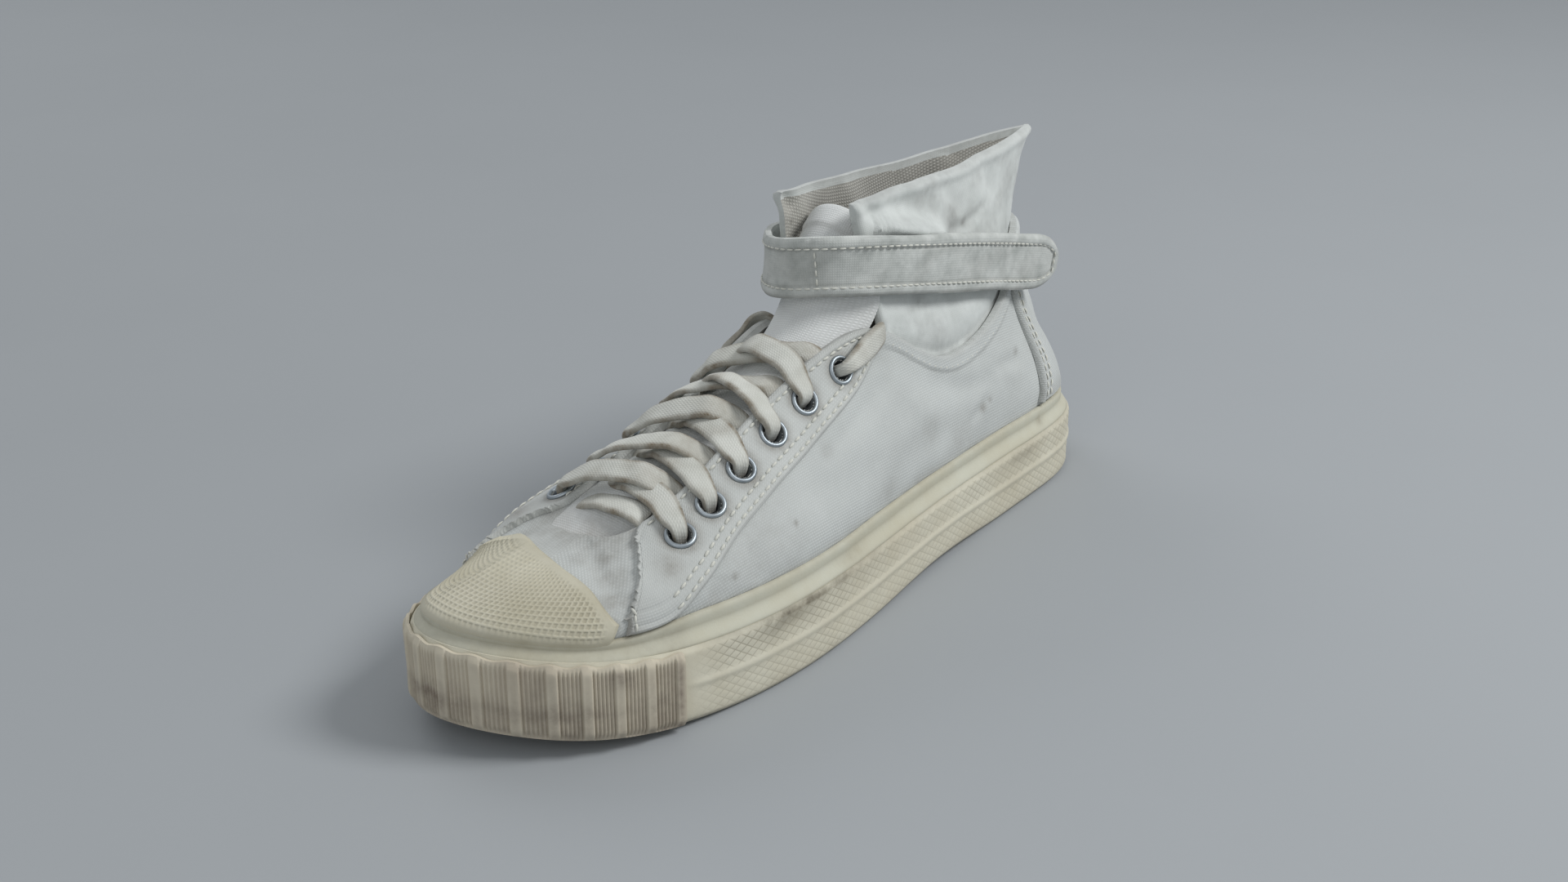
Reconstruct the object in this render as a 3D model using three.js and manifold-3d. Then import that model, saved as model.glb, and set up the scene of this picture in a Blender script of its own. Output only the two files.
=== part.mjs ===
// Worn high-top canvas sneaker, a left shoe standing on its sole.
// Millimetres. +X runs to the toe, +Y to the outer (lateral) side, +Z up.
import * as THREE from 'three';
import { mergeVertices } from 'three/addons/utils/BufferGeometryUtils.js';
import Module from 'manifold-3d';

const wasm = await Module();
wasm.setup();

// Driving dimensions of the last
const SOLE_LENGTH = 292;
const BALL_WIDTH = 95;
const INSTEP_HEIGHT = 81;
const FIT = 0.3;

// Sections round the last, from the back of the heel along the outer side to the toe and back.
// Sole and top edge are percentages of half the length, half the ball width and the instep height.
// Rise and bulge lead a rib away from the sole, drop and flare lead it into the top edge, in millimetres.
const STATION_COLUMNS = ['soleX', 'soleY', 'topX', 'topY', 'topZ', 'rise', 'bulge', 'drop', 'flare'];
const STATIONS = [
  [-100, 2, -89, -4, 112.3, 12, 0.5, 26, -1], // back of the heel
  [-89.7, 58, -76.5, 24.5, 105, 14, 0.5, 24, -0.5],
  [-68.5, 73.7, -61, 46.3, 89.5, 16, 2, 18, 3],
  [-41, 78.7, -32.5, 58.3, 83, 12, 1.5, 12, 3], // outer scoop of the collar
  [-17, 85.3, -12, 47.4, 104, 20, 2.5, 20, 5], // top of the outer eyestay
  [7, 94.7, 9.6, 40, 101, 16, 2.5, 16, 9],
  [31, 101, 31, 37.5, 86, 14, 2, 10, 12], // ball
  [55, 95.4, 51, 36, 69.5, 11, 2, 5, 13.5],
  [75.3, 79, 62.3, 22, 61.5, 8, 2.5, 3, 17],
  [91, 43.8, 64.3, 6, 59.6, 6, 2.5, 3, 21],
  [100, -17, 64.5, -9, 58, 4.5, 2, 3, 24], // tip of the toe
  [92.5, -60.5, 63.7, -23, 57.5, 4, 1.5, 3, 20],
  [76.7, -79, 61.3, -31.6, 58, 4.5, 1, 3, 15],
  [55, -93, 50.7, -29.5, 65.5, 8, 1.5, 5, 13],
  [31, -95.8, 30, -28.4, 77.8, 11, 1.5, 9, 12], // joint of the big toe
  [7, -85.3, 9, -32.6, 90, 14, 1.5, 14, 10],
  [-17, -72.8, -10.3, -42, 96.3, 18, 1.5, 18, 6], // top of the inner eyestay
  [-41, -68.8, -33, -57, 80, 12, 1.5, 12, 3], // inner scoop of the collar
  [-68.5, -69, -61, -52.6, 87.7, 16, 2, 18, 2],
  [-89.7, -50.5, -78, -36.8, 103.7, 14, 1.5, 24, 0],
];

// Bottom of the sole: two flat spots on the floor, a low arch, toe spring and a bevelled heel
const TOE_SPRING = { from: 60, to: 146, height: 8 };
const HEEL_BEVEL = { from: -112, to: -146, height: 2.5 };
const ARCH = { from: -78, top: -32, to: 14, height: 1.5 };

// Side of the sole
const TAPE = { heel: 22.8, toe: 24.8, wall: 3, clearance: 0.6, ramp: [-120, 100] };
const TAPE_PROFILE = [
  // share of the height, stand-off, share of the rib's stand-off
  [0, -0.9, 0],
  [0.05, 0, 0],
  [0.43, 0, 0],
  [0.51, 0, 1],
  [0.59, 0, 0],
  [0.94, 0, 0],
  [1, -0.9, 0],
];
const TAPE_RIB = 0.8;
const STRIPE = { wall: 1.5, heel: 7, waist: 8, toe: 3.8, hidden: 7 };
const STRIPE_RAMPS = { heel: [-130, -60], toe: [85, 125] };
// Toe bumper: smooth bands that stand proud of fluted blocks, between two stations
const BUMPER = { from: 7.57, to: 12.47, fade: 0.25, blocks: 15, flutedShare: 0.62, ramp: 0.06 };
const BUMPER_FACE = { flute: 1, band: 1.7, chamfer: 1.2, lip: 0.5, belowTape: 0.4 };
const OUTSOLE = { top: 9, groove: 1.8, lug: 9, gap: 4, slope: 0.5, tip: 0.3, nose: 3, waistSections: 7 };
const TREAD = [
  // first and last place of each run of lugs
  { from: -132, to: -74 },
  { from: 12, to: 132 },
];
const INSOLE = { thickness: 4.5, sections: 22 };

// Upper and what is sewn on it
const WALL = 2;
const UPPER_ROWS = [0, 0.14, 0.3, 0.48, 0.66, 0.84, 1];
const OVERLAY = { gap: 0.72, wall: 1 };
const PANELS = {
  // lower and upper line of each panel, as station and share of the rib
  toe_cap: {
    lower: [[8.26, 0.05], [8.8, 0.05], [9.4, 0.05], [10, 0.05], [10.6, 0.05], [11.2, 0.05], [11.74, 0.05]],
    upper: [[8.2, 0.2], [8.65, 0.56], [9.3, 0.76], [10, 0.84], [10.7, 0.78], [11.35, 0.56], [11.8, 0.2]],
    columns: 19,
    rows: 6,
  },
  eyestay_lateral: {
    lower: [
      [4.02, 0.9], [4.6, 0.72], [5.4, 0.63], [6.1, 0.57],
      [6.7, 0.47], [7.2, 0.25], [7.6, 0.05], [8.1, 0.05],
    ],
    upper: [[4.02, 1], [4.7, 1], [5.4, 1], [6.1, 1], [6.7, 1], [7.25, 1], [7.7, 0.9], [8.08, 0.25]],
    columns: 20,
    rows: 5,
  },
  eyestay_medial: {
    lower: [
      [15.98, 0.9], [15.4, 0.72], [14.6, 0.63], [13.9, 0.57],
      [13.3, 0.47], [12.8, 0.25], [12.4, 0.05], [11.9, 0.05],
    ],
    upper: [[15.98, 1], [15.3, 1], [14.6, 1], [13.9, 1], [13.3, 1], [12.75, 1], [12.3, 0.9], [11.92, 0.25]],
    columns: 20,
    rows: 5,
  },
  back_stay: {
    lower: [[-1.85, 0.05], [0, 0.05], [1.85, 0.05]],
    upper: [[-1.45, 0.985], [0, 0.985], [1.45, 0.985]],
    columns: 15,
    rows: 6,
  },
};

// Cuff: a soft shaft from inside the collar to a level top edge, open at the front
const CUFF = { wall: 2.4, slack: 0.35, reach: 3.85, columns: 27, lean: 0.55 };
const CUFF_HIDDEN_ROW = 0.76;
const CUFF_ROWS = 6;
const CUFF_TOP = [
  // x, y, z of the top edge from the inner front corner round the heel to the outer one
  [-15.3, -17.4, 122.2],
  [-40, -18.4, 120.8],
  [-72, -16.4, 119.4],
  [-110, -9.9, 120.4],
  [-139.5, -1.5, 121.8],
  [-110, 6.6, 121.8],
  [-72, 11.6, 122],
  [-42, 12.6, 122.8],
  [-21, 9.6, 121.4],
];

// Tongue: middle line, half width, how far the sides fall away from it, and its roll to the inner side
const TONGUE_WALL = 2.2;
const TONGUE_ROWS = 7;
const TONGUE_COLUMNS = ['x', 'y', 'z', 'half', 'fall', 'roll'];
const TONGUE = [
  [101, -4, 41.4, 12, 2, 0],
  [92, -3.5, 43.6, 15, 3, 0],
  [80, -1, 49.4, 20, 6, 2],
  [60, 1, 57, 24, 9, 5],
  [40, 2, 65, 23, 10, 8],
  [22, 2, 72.5, 17.5, 10, 9],
  [11, 1.5, 77, 17, 10, 9],
  [1, 1, 83, 16, 9, 6],
  [-6, 1.2, 90.5, 15, 9, 2],
  [-10, 1, 98, 15, 9, 0],
  [-14, -0.6, 105, 12.5, 7, 0],
  [-20, -2.2, 111, 10.4, 5, 0],
  [-29, -3, 116.5, 10, 4, 0],
];

// Strap: middle line from the sewn inner end round the front to the free outer tab, and its lean in degrees
const STRAP = { width: 19.2, wall: 2.6, steps: 36, tab: 7, tip: 0.35 };
const STRAP_LINE = [
  [-76, -26.5, 90.5, 3],
  [-47, -28, 95, 3],
  [-22, -24.5, 98.5, 3],
  [-8, -14.5, 100.6, 2],
  [-2, -2.5, 103.2, 0],
  [-5.5, 9.5, 105, 0],
  [-18.5, 19, 104.2, 2],
  [-45, 23.5, 99, 2],
  [-78, 24, 91, 2],
  [-104, 23.4, 84, 1],
  [-121, 24, 79.8, 0],
];

// Eyelets from the toe end up, mirrored from the outer to the inner side
const EYELET_PLACES = [
  // station, and distance from the edge of the throat on the outer and the inner side
  [7.2, 11.5, 8],
  [6.72, 9.8, 8],
  [6.25, 9, 8],
  [5.76, 8.6, 8],
  [5.26, 8.4, 8],
  [4.72, 8.4, 8],
];
const EYELET = { flange: 4.8, bore: 2, barrel: 3.2, rim: 1.1, crown: 1, dish: 0.4, sides: 8, drill: 12 };

// Flat lace
const LACE = { width: 9.4, wall: 1.8, steps: 7, stand: 0.6, lead: 0.12, turn: 3 };
const LACE_RISE = { lateral: 5.6, medial: 7.2 };
// Places beside an eyelet: towards the toe, into the throat and up from its edge
const LACE_PLACES = {
  edge: [0, 0, 0],
  over: [-1.5, 1, 4.6],
  dive: [6.5, 3.6, 0],
  bar: [5, 4.6, -0.4],
};
const LACE_BAR_RISE = 1.2;
// Tucked ends: station and rib share reached from the top eyelet, narrowed by folding
const LACE_END = { onStay: [0.25, 0.9], atEdge: [0.45, 0.98], lift: 0.2, arch: 0.6, folded: 0.8, steps: 5 };

const UPPER_INSET = TAPE.wall + FIT + STRIPE.wall + FIT;

const STATION_COUNT = STATIONS.length;
// Columns between one station and the next, from heel to toe: closest where the shoe turns
const SPANS = [4, 3, 3, 3, 2, 2, 2, 3, 4, 4];
const PASSES = 40;
const STEP = 0.001;

function periodicSpline(values) {
  const count = values.length;
  const bend = values.map(() => 0);
  for (let pass = 0; pass < PASSES; pass += 1) {
    for (let i = 0; i < count; i += 1) {
      const before = (i + count - 1) % count;
      const after = (i + 1) % count;
      const load = 6 * (values[after] - 2 * values[i] + values[before]);
      bend[i] = (load - bend[before] - bend[after]) / 4;
    }
  }
  return (s) => {
    const place = ((s % count) + count) % count;
    const i = Math.floor(place);
    const j = (i + 1) % count;
    const t = place - i;
    const u = 1 - t;
    return u * values[i] + t * values[j] + ((u ** 3 - u) * bend[i] + (t ** 3 - t) * bend[j]) / 6;
  };
}

const COLUMN_UNIT = {
  soleX: SOLE_LENGTH / 200,
  soleY: BALL_WIDTH / 200,
  topX: SOLE_LENGTH / 200,
  topY: BALL_WIDTH / 200,
  topZ: INSTEP_HEIGHT / 100,
};
const column = {};
STATION_COLUMNS.forEach((name, k) => {
  const unit = COLUMN_UNIT[name] ?? 1;
  column[name] = periodicSpline(STATIONS.map((row) => row[k] * unit));
});

const clamp01 = (t) => Math.min(1, Math.max(0, t));
const smooth = (from, to, x) => THREE.MathUtils.smoothstep(clamp01((x - from) / (to - from)), 0, 1);

function floorLine(x) {
  const toe = TOE_SPRING.height * clamp01((x - TOE_SPRING.from) / (TOE_SPRING.to - TOE_SPRING.from)) ** 2;
  const heel = HEEL_BEVEL.height * clamp01((x - HEEL_BEVEL.from) / (HEEL_BEVEL.to - HEEL_BEVEL.from)) ** 2;
  const arch = ARCH.height * smooth(ARCH.from, ARCH.top, x) * (1 - smooth(ARCH.top, ARCH.to, x));
  return toe + heel + arch;
}

const toeLift = (x) => (x > 0 ? floorLine(x) * smooth(ARCH.to, TOE_SPRING.from, x) : 0);
const tapeTop = (x) => TAPE.heel + (TAPE.toe - TAPE.heel) * smooth(...TAPE.ramp, x) + toeLift(x);

function featherLine(x) {
  const waist = STRIPE.heel + (STRIPE.waist - STRIPE.heel) * smooth(...STRIPE_RAMPS.heel, x);
  return tapeTop(x) + waist + (STRIPE.toe - STRIPE.waist) * smooth(...STRIPE_RAMPS.toe, x);
}

function outward(s) {
  const dx = column.soleX(s + STEP) - column.soleX(s - STEP);
  const dy = column.soleY(s + STEP) - column.soleY(s - STEP);
  return new THREE.Vector3(-dy, dx, 0).normalize();
}

function solePoint(s, offset, z) {
  const point = new THREE.Vector3(column.soleX(s), column.soleY(s), z);
  return point.addScaledVector(outward(s), offset);
}

function ribPoint(s, v) {
  const x = column.soleX(s);
  const out = outward(s);
  const base = solePoint(s, -UPPER_INSET, featherLine(x));
  const leave = base.clone().addScaledVector(out, column.bulge(s));
  leave.z += column.rise(s);
  const top = new THREE.Vector3(column.topX(s), column.topY(s), column.topZ(s));
  const arrive = top.clone().addScaledVector(out, column.flare(s));
  arrive.z -= column.drop(s);
  const w = 1 - v;
  return base
    .multiplyScalar(w ** 3)
    .addScaledVector(leave, 3 * w * w * v)
    .addScaledVector(arrive, 3 * w * v * v)
    .addScaledVector(top, v ** 3);
}

function surfaceNormal(surface, s, v) {
  const along = surface(s + STEP, v).sub(surface(s - STEP, v));
  const up = surface(s, v + STEP).sub(surface(s, v - STEP));
  return up.cross(along).normalize();
}

const onUpper = (s, v, lift) => ribPoint(s, v).addScaledVector(surfaceNormal(ribPoint, s, v), lift);

// A closed body through sections of equal point count, joined end to end when it goes all the way round
function loft(sections, goesRound) {
  const points = sections.flat();
  const size = sections[0].length;
  const triangles = [];
  const last = goesRound ? sections.length : sections.length - 1;
  for (let i = 0; i < last; i += 1) {
    const here = i * size;
    const next = ((i + 1) % sections.length) * size;
    for (let k = 0; k < size; k += 1) {
      const m = (k + 1) % size;
      triangles.push([here + k, here + m, next + m], [here + k, next + m, next + k]);
    }
  }
  if (!goesRound) {
    const end = (sections.length - 1) * size;
    let low = 0;
    let high = size - 1;
    while (high - low > 1) {
      triangles.push([high, low + 1, low], [end + low, end + low + 1, end + high]);
      low += 1;
      if (high - low > 1) {
        triangles.push([high, high - 1, low], [end + low, end + high - 1, end + high]);
        high -= 1;
      }
    }
  }
  return facingOut(points, triangles);
}

function facingOut(points, triangles) {
  const volume = triangles.reduce((sum, [a, b, c]) => {
    const cross = new THREE.Vector3().crossVectors(points[b], points[c]);
    return sum + points[a].dot(cross);
  }, 0);
  const ordered = volume > 0 ? triangles : triangles.map(([a, b, c]) => [a, c, b]);
  const geometry = new THREE.BufferGeometry().setFromPoints(points);
  geometry.setIndex(ordered.flat());
  geometry.computeVertexNormals();
  return geometry;
}

const range = (count) => Array.from({ length: count }, (_, i) => i);
const spread = (from, to, count) => range(count).map((i) => from + ((to - from) * i) / (count - 1));
const roundTheShoe = SPANS.concat(SPANS.toReversed()).flatMap((columns, station) => {
  return range(columns).map((k) => station + k / columns);
});

// One section of a wall: the outer rows upward, then the inner rows downward
const wallSection = (outer, inner) => [...outer, ...inner.reverse()];

// Sole
function nearBumper(s) {
  const after = smooth(BUMPER.from - BUMPER.fade, BUMPER.from, s);
  return after * (1 - smooth(BUMPER.to, BUMPER.to + BUMPER.fade, s));
}

function foxingGeometry() {
  const sections = roundTheShoe.map((s) => {
    const x = column.soleX(s);
    const bottom = floorLine(x) + TAPE.clearance;
    const height = tapeTop(x) - bottom;
    const rib = TAPE_RIB * (1 - nearBumper(s));
    const face = TAPE_PROFILE.map(([share, off, ribShare]) => {
      return solePoint(s, off + rib * ribShare, bottom + share * height);
    });
    return [...face, solePoint(s, -TAPE.wall, bottom + height), solePoint(s, -TAPE.wall, bottom)];
  });
  return loft(sections, true);
}

function stripeGeometry() {
  const outer = -TAPE.wall - FIT;
  const sections = roundTheShoe.map((s) => {
    const x = column.soleX(s);
    const low = tapeTop(x) - STRIPE.hidden;
    const high = featherLine(x) - FIT;
    return [
      solePoint(s, outer, low),
      solePoint(s, outer, high),
      solePoint(s, outer - STRIPE.wall, high),
      solePoint(s, outer - STRIPE.wall, low),
    ];
  });
  return loft(sections, true);
}

function bumperGeometry() {
  const bandShare = 1 - BUMPER.flutedShare;
  const pitch = (BUMPER.to - BUMPER.from) / (BUMPER.blocks + bandShare);
  const { band, flute, chamfer, lip, belowTape } = BUMPER_FACE;
  const columns = [];
  range(BUMPER.blocks + 1).forEach((i) => {
    const start = BUMPER.from + i * pitch;
    columns.push([start, band], [start + (bandShare - BUMPER.ramp) * pitch, band]);
    if (i < BUMPER.blocks) {
      columns.push([start + bandShare * pitch, flute], [start + (1 - BUMPER.ramp) * pitch, flute]);
    }
  });
  const sections = columns.map(([s, stand]) => {
    const x = column.soleX(s);
    const bottom = floorLine(x) + TAPE.clearance + FIT;
    const top = tapeTop(x) - belowTape;
    return [
      solePoint(s, FIT, bottom),
      solePoint(s, FIT + stand, bottom + chamfer),
      solePoint(s, FIT + stand, top - chamfer),
      solePoint(s, FIT + lip, top),
      solePoint(s, FIT, top),
    ];
  });
  return loft(sections, false);
}

// Where the inset outline crosses a place along the shoe, on one side
function sideAt(x, inset, from, to) {
  let near = from;
  let far = to;
  for (let pass = 0; pass < PASSES; pass += 1) {
    const middle = (near + far) / 2;
    if (solePoint(middle, -inset, 0).x < x) {
      near = middle;
    } else {
      far = middle;
    }
  }
  return solePoint(near, -inset, 0).y;
}

function crossSpan(x, inset) {
  const tip = STATION_COUNT / 2;
  return { outer: sideAt(x, inset, 0, tip), inner: sideAt(x, inset, STATION_COUNT, tip) };
}

function endsOf(inset) {
  return { heel: solePoint(0, -inset, 0).x, toe: solePoint(STATION_COUNT / 2, -inset, 0).x };
}

// Places along the outsole with the depth of its underside: lugs on the floor, grooves and waist above it
function treadPlaces(inset) {
  const { heel, toe } = endsOf(inset);
  const { groove, lug, gap, slope, tip, nose, waistSections } = OUTSOLE;
  const waist = spread(TREAD[0].to, TREAD[1].from, waistSections + 2).slice(1, -1);
  const places = [heel + tip, heel + nose, ...waist, toe - nose, toe - tip].map((x) => [x, groove]);
  TREAD.forEach(({ from, to }) => {
    for (let x = from; x + lug <= to; x += lug + gap) {
      places.push([x, groove], [x + slope, 0], [x + lug - slope, 0], [x + lug, groove]);
    }
  });
  return places.sort((a, b) => a[0] - b[0]);
}

function outsoleGeometry() {
  const inset = TAPE.wall + 2 * FIT;
  const sections = treadPlaces(inset).map(([x, groove]) => {
    const span = crossSpan(x, inset);
    const low = floorLine(x) + groove;
    const high = OUTSOLE.top + toeLift(x);
    const sides = [span.outer, (span.outer + span.inner) / 2, span.inner];
    const under = sides.map((y) => new THREE.Vector3(x, y, low));
    const over = sides.map((y) => new THREE.Vector3(x, y, high));
    return wallSection(under, over);
  });
  return loft(sections, false);
}

function insoleGeometry() {
  const inset = UPPER_INSET + WALL + FIT;
  const { heel, toe } = endsOf(inset);
  const reach = (toe - heel) / 2 - OUTSOLE.tip;
  const sections = spread(0, Math.PI, INSOLE.sections).map((turn) => {
    const x = (heel + toe) / 2 - Math.cos(turn) * reach;
    const span = crossSpan(x, inset);
    const low = OUTSOLE.top + FIT + toeLift(x);
    const edges = [span.outer, span.inner];
    const under = edges.map((y) => new THREE.Vector3(x, y, low));
    const over = edges.map((y) => new THREE.Vector3(x, y, low + INSOLE.thickness));
    return wallSection(under, over);
  });
  return loft(sections, false);
}

// Upper
function upperGeometry() {
  const sections = roundTheShoe.map((s) => {
    const low = OUTSOLE.top + FIT + toeLift(column.soleX(s));
    const outer = UPPER_ROWS.map((v) => onUpper(s, v, 0));
    const inner = UPPER_ROWS.map((v) => onUpper(s, v, -WALL));
    outer.unshift(solePoint(s, -UPPER_INSET, low));
    inner.unshift(solePoint(s, -UPPER_INSET - WALL, low));
    return wallSection(outer, inner);
  });
  return loft(sections, true);
}

function panelGeometry({ lower, upper, columns, rows }) {
  const low = new THREE.SplineCurve(lower.map(([s, v]) => new THREE.Vector2(s, v)));
  const high = new THREE.SplineCurve(upper.map(([s, v]) => new THREE.Vector2(s, v)));
  const sections = spread(0, 1, columns).map((a) => {
    const from = low.getPoint(a);
    const to = high.getPoint(a);
    const places = spread(0, 1, rows).map((b) => from.clone().lerp(to, b));
    const outer = places.map((place) => onUpper(place.x, place.y, OVERLAY.gap + OVERLAY.wall));
    const inner = places.map((place) => onUpper(place.x, place.y, OVERLAY.gap));
    return wallSection(outer, inner);
  });
  return loft(sections, false);
}

// Cuff
const cuffTop = new THREE.CatmullRomCurve3(CUFF_TOP.map((point) => new THREE.Vector3(...point)));
const CUFF_OFFSET = -WALL - FIT - CUFF.slack;

function cuffPoint(s, t) {
  const seat = onUpper(s, 1, CUFF_OFFSET);
  const top = cuffTop.getPoint(clamp01((s + CUFF.reach) / (2 * CUFF.reach)));
  const height = top.z - seat.z;
  const leave = ribPoint(s, 1).sub(ribPoint(s, 1 - STEP)).setLength(height * CUFF.lean);
  const arrive = new THREE.Vector3(0, 0, height * CUFF.lean);
  const w = 1 - t;
  return seat
    .clone()
    .multiplyScalar(w * w * (1 + 2 * t))
    .addScaledVector(leave, w * w * t)
    .addScaledVector(top, t * t * (3 - 2 * t))
    .addScaledVector(arrive, -t * t * w);
}

const onCuff = (s, t, lift) => cuffPoint(s, t).addScaledVector(surfaceNormal(cuffPoint, s, t), lift);

function cuffGeometry() {
  const sections = spread(-CUFF.reach, CUFF.reach, CUFF.columns).map((s) => {
    const shown = spread(0, 1, CUFF_ROWS);
    const outer = [onUpper(s, CUFF_HIDDEN_ROW, CUFF_OFFSET), ...shown.map((t) => cuffPoint(s, t))];
    const hidden = onUpper(s, CUFF_HIDDEN_ROW, CUFF_OFFSET - CUFF.wall);
    return wallSection(outer, [hidden, ...shown.map((t) => onCuff(s, t, -CUFF.wall))]);
  });
  return loft(sections, false);
}

// Tongue
function tongueGeometry() {
  const middle = new THREE.CatmullRomCurve3(TONGUE.map(([x, y, z]) => new THREE.Vector3(x, y, z)));
  const sections = TONGUE.map((values, i) => {
    const row = Object.fromEntries(TONGUE_COLUMNS.map((name, k) => [name, values[k]]));
    const along = middle.getTangent(i / (TONGUE.length - 1));
    const lift = new THREE.Vector3(along.z, 0, -along.x).normalize();
    const slant = Math.tan(THREE.MathUtils.degToRad(row.roll));
    const rows = spread(-1, 1, TONGUE_ROWS).map((t) => {
      const height = row.half * t * slant - row.fall * t * t;
      const point = new THREE.Vector3(row.x, row.y + row.half * t, row.z).addScaledVector(lift, height);
      const slope = slant - (2 * row.fall * t) / row.half;
      return { point, face: new THREE.Vector3(0, -slope, 0).add(lift).normalize() };
    });
    const outer = rows.map(({ point, face }) => point.clone().addScaledVector(face, TONGUE_WALL / 2));
    const inner = rows.map(({ point, face }) => point.clone().addScaledVector(face, -TONGUE_WALL / 2));
    return wallSection(outer, inner);
  });
  return loft(sections, false);
}

// A flat band along a curve; width and aim give its width and the direction of it at each place
function bandGeometry(curve, steps, width, wall, aim) {
  const sections = spread(0, 1, steps).map((a) => {
    const along = curve.getTangent(a);
    const middle = curve.getPoint(a);
    const side = aim(a, along);
    side.addScaledVector(along, -side.dot(along)).normalize();
    const face = new THREE.Vector3().crossVectors(along, side);
    const half = width(a) / 2;
    return [[-1, -1], [1, -1], [1, 1], [-1, 1]].map(([across, through]) => {
      return middle.clone().addScaledVector(side, across * half).addScaledVector(face, (through * wall) / 2);
    });
  });
  return loft(sections, false);
}

function strapGeometry() {
  const curve = new THREE.CatmullRomCurve3(STRAP_LINE.map(([x, y, z]) => new THREE.Vector3(x, y, z)));
  const leans = new THREE.SplineCurve(STRAP_LINE.map((row, i) => new THREE.Vector2(i, row[3])));
  const length = curve.getLength();
  const aim = (a, along) => {
    const lean = THREE.MathUtils.degToRad(leans.getPoint(a).y);
    const inside = new THREE.Vector3(-along.y, along.x, 0).normalize();
    return new THREE.Vector3(0, 0, Math.cos(lean)).addScaledVector(inside, Math.sin(lean));
  };
  const width = (a) => {
    const left = clamp01(((1 - a) * length) / STRAP.tab);
    return STRAP.width * Math.max(STRAP.tip, Math.sqrt(1 - (1 - left) ** 2));
  };
  return bandGeometry(curve, STRAP.steps, width, STRAP.wall, aim);
}

// Place on a rib at a distance from its top edge
function fromEdge(s, distance) {
  const edge = ribPoint(s, 1);
  let near = 0;
  let far = 1;
  for (let pass = 0; pass < PASSES; pass += 1) {
    const middle = (near + far) / 2;
    if (ribPoint(s, middle).distanceTo(edge) > distance) {
      near = middle;
    } else {
      far = middle;
    }
  }
  return near;
}

const eyelets = ['lateral', 'medial'].flatMap((side) => {
  return EYELET_PLACES.map(([place, outer, inner], i) => {
    const s = side === 'lateral' ? place : STATION_COUNT - place;
    const v = fromEdge(s, side === 'lateral' ? outer : inner);
    const name = `eyelet_${side}_${i + 1}`;
    return { name, side, s, point: ribPoint(s, v), normal: surfaceNormal(ribPoint, s, v) };
  });
});
const EYELET_AXIS = new THREE.Vector3(0, 1, 0);

function seated(geometry, { point, normal }) {
  const turn = new THREE.Quaternion().setFromUnitVectors(EYELET_AXIS, normal);
  geometry.applyQuaternion(turn);
  return geometry.translate(point.x, point.y, point.z);
}

function eyeletGeometry(eyelet) {
  const seat = OVERLAY.gap + OVERLAY.wall + FIT;
  const profile = [
    [EYELET.bore, -WALL - FIT],
    [EYELET.barrel, -WALL - FIT + EYELET.dish],
    [EYELET.barrel, seat],
    [EYELET.flange, seat + EYELET.dish],
    [EYELET.bore + EYELET.crown, seat + EYELET.rim],
    [EYELET.bore, -WALL - FIT],
  ].map(([radius, height]) => new THREE.Vector2(radius, height));
  return seated(new THREE.LatheGeometry(profile, EYELET.sides), eyelet);
}

// Solids that are joined or cut
function solidOf(geometry) {
  const bare = geometry.clone();
  bare.deleteAttribute('normal');
  bare.deleteAttribute('uv');
  const joined = mergeVertices(bare);
  const vertProperties = new Float32Array(joined.getAttribute('position').array);
  const triVerts = new Uint32Array(joined.getIndex().array);
  return new wasm.Manifold(new wasm.Mesh({ numProp: 3, vertProperties, triVerts }));
}

function geometryOf(solid) {
  const mesh = solid.getMesh();
  const geometry = new THREE.BufferGeometry();
  geometry.setAttribute('position', new THREE.BufferAttribute(new Float32Array(mesh.vertProperties), 3));
  geometry.setIndex(new THREE.BufferAttribute(new Uint32Array(mesh.triVerts), 1));
  geometry.computeVertexNormals();
  return geometry;
}

function punched(geometry, holes) {
  const drills = holes.map((eyelet) => {
    const radius = EYELET.barrel + FIT;
    const drill = new THREE.CylinderGeometry(radius, radius, EYELET.drill, EYELET.sides);
    return solidOf(seated(drill, eyelet));
  });
  return geometryOf(drills.reduce((solid, drill) => solid.subtract(drill), solidOf(geometry)));
}

// Lace
const THROAT_UP = new THREE.Vector3(0.29, 0, 0.957);
const LACE_SEAT = OVERLAY.gap + OVERLAY.wall + FIT + LACE.wall / 2;
const LACE_MOUTH = LACE_SEAT + EYELET.rim + FIT + LACE.stand;
const eyeletAt = (side, i) => eyelets.find(({ name }) => name === `eyelet_${side}_${i}`);
const otherSide = (side) => (side === 'lateral' ? 'medial' : 'lateral');
const between = (a, b) => a.clone().lerp(b, 0.5);

function laceBand(points, faceAt) {
  const aim = (a, along) => new THREE.Vector3().crossVectors(faceAt(a), along);
  return bandGeometry(new THREE.CatmullRomCurve3(points), LACE.steps, () => LACE.width, LACE.wall, aim);
}

function besideEyelet(side, i, [towardsToe, inside, up]) {
  const point = ribPoint(eyeletAt(side, i).s, 1).addScaledVector(THROAT_UP, up);
  point.x += towardsToe * THROAT_UP.z;
  point.y += side === 'lateral' ? -inside : inside;
  point.z -= towardsToe * THROAT_UP.x;
  return point;
}

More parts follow.
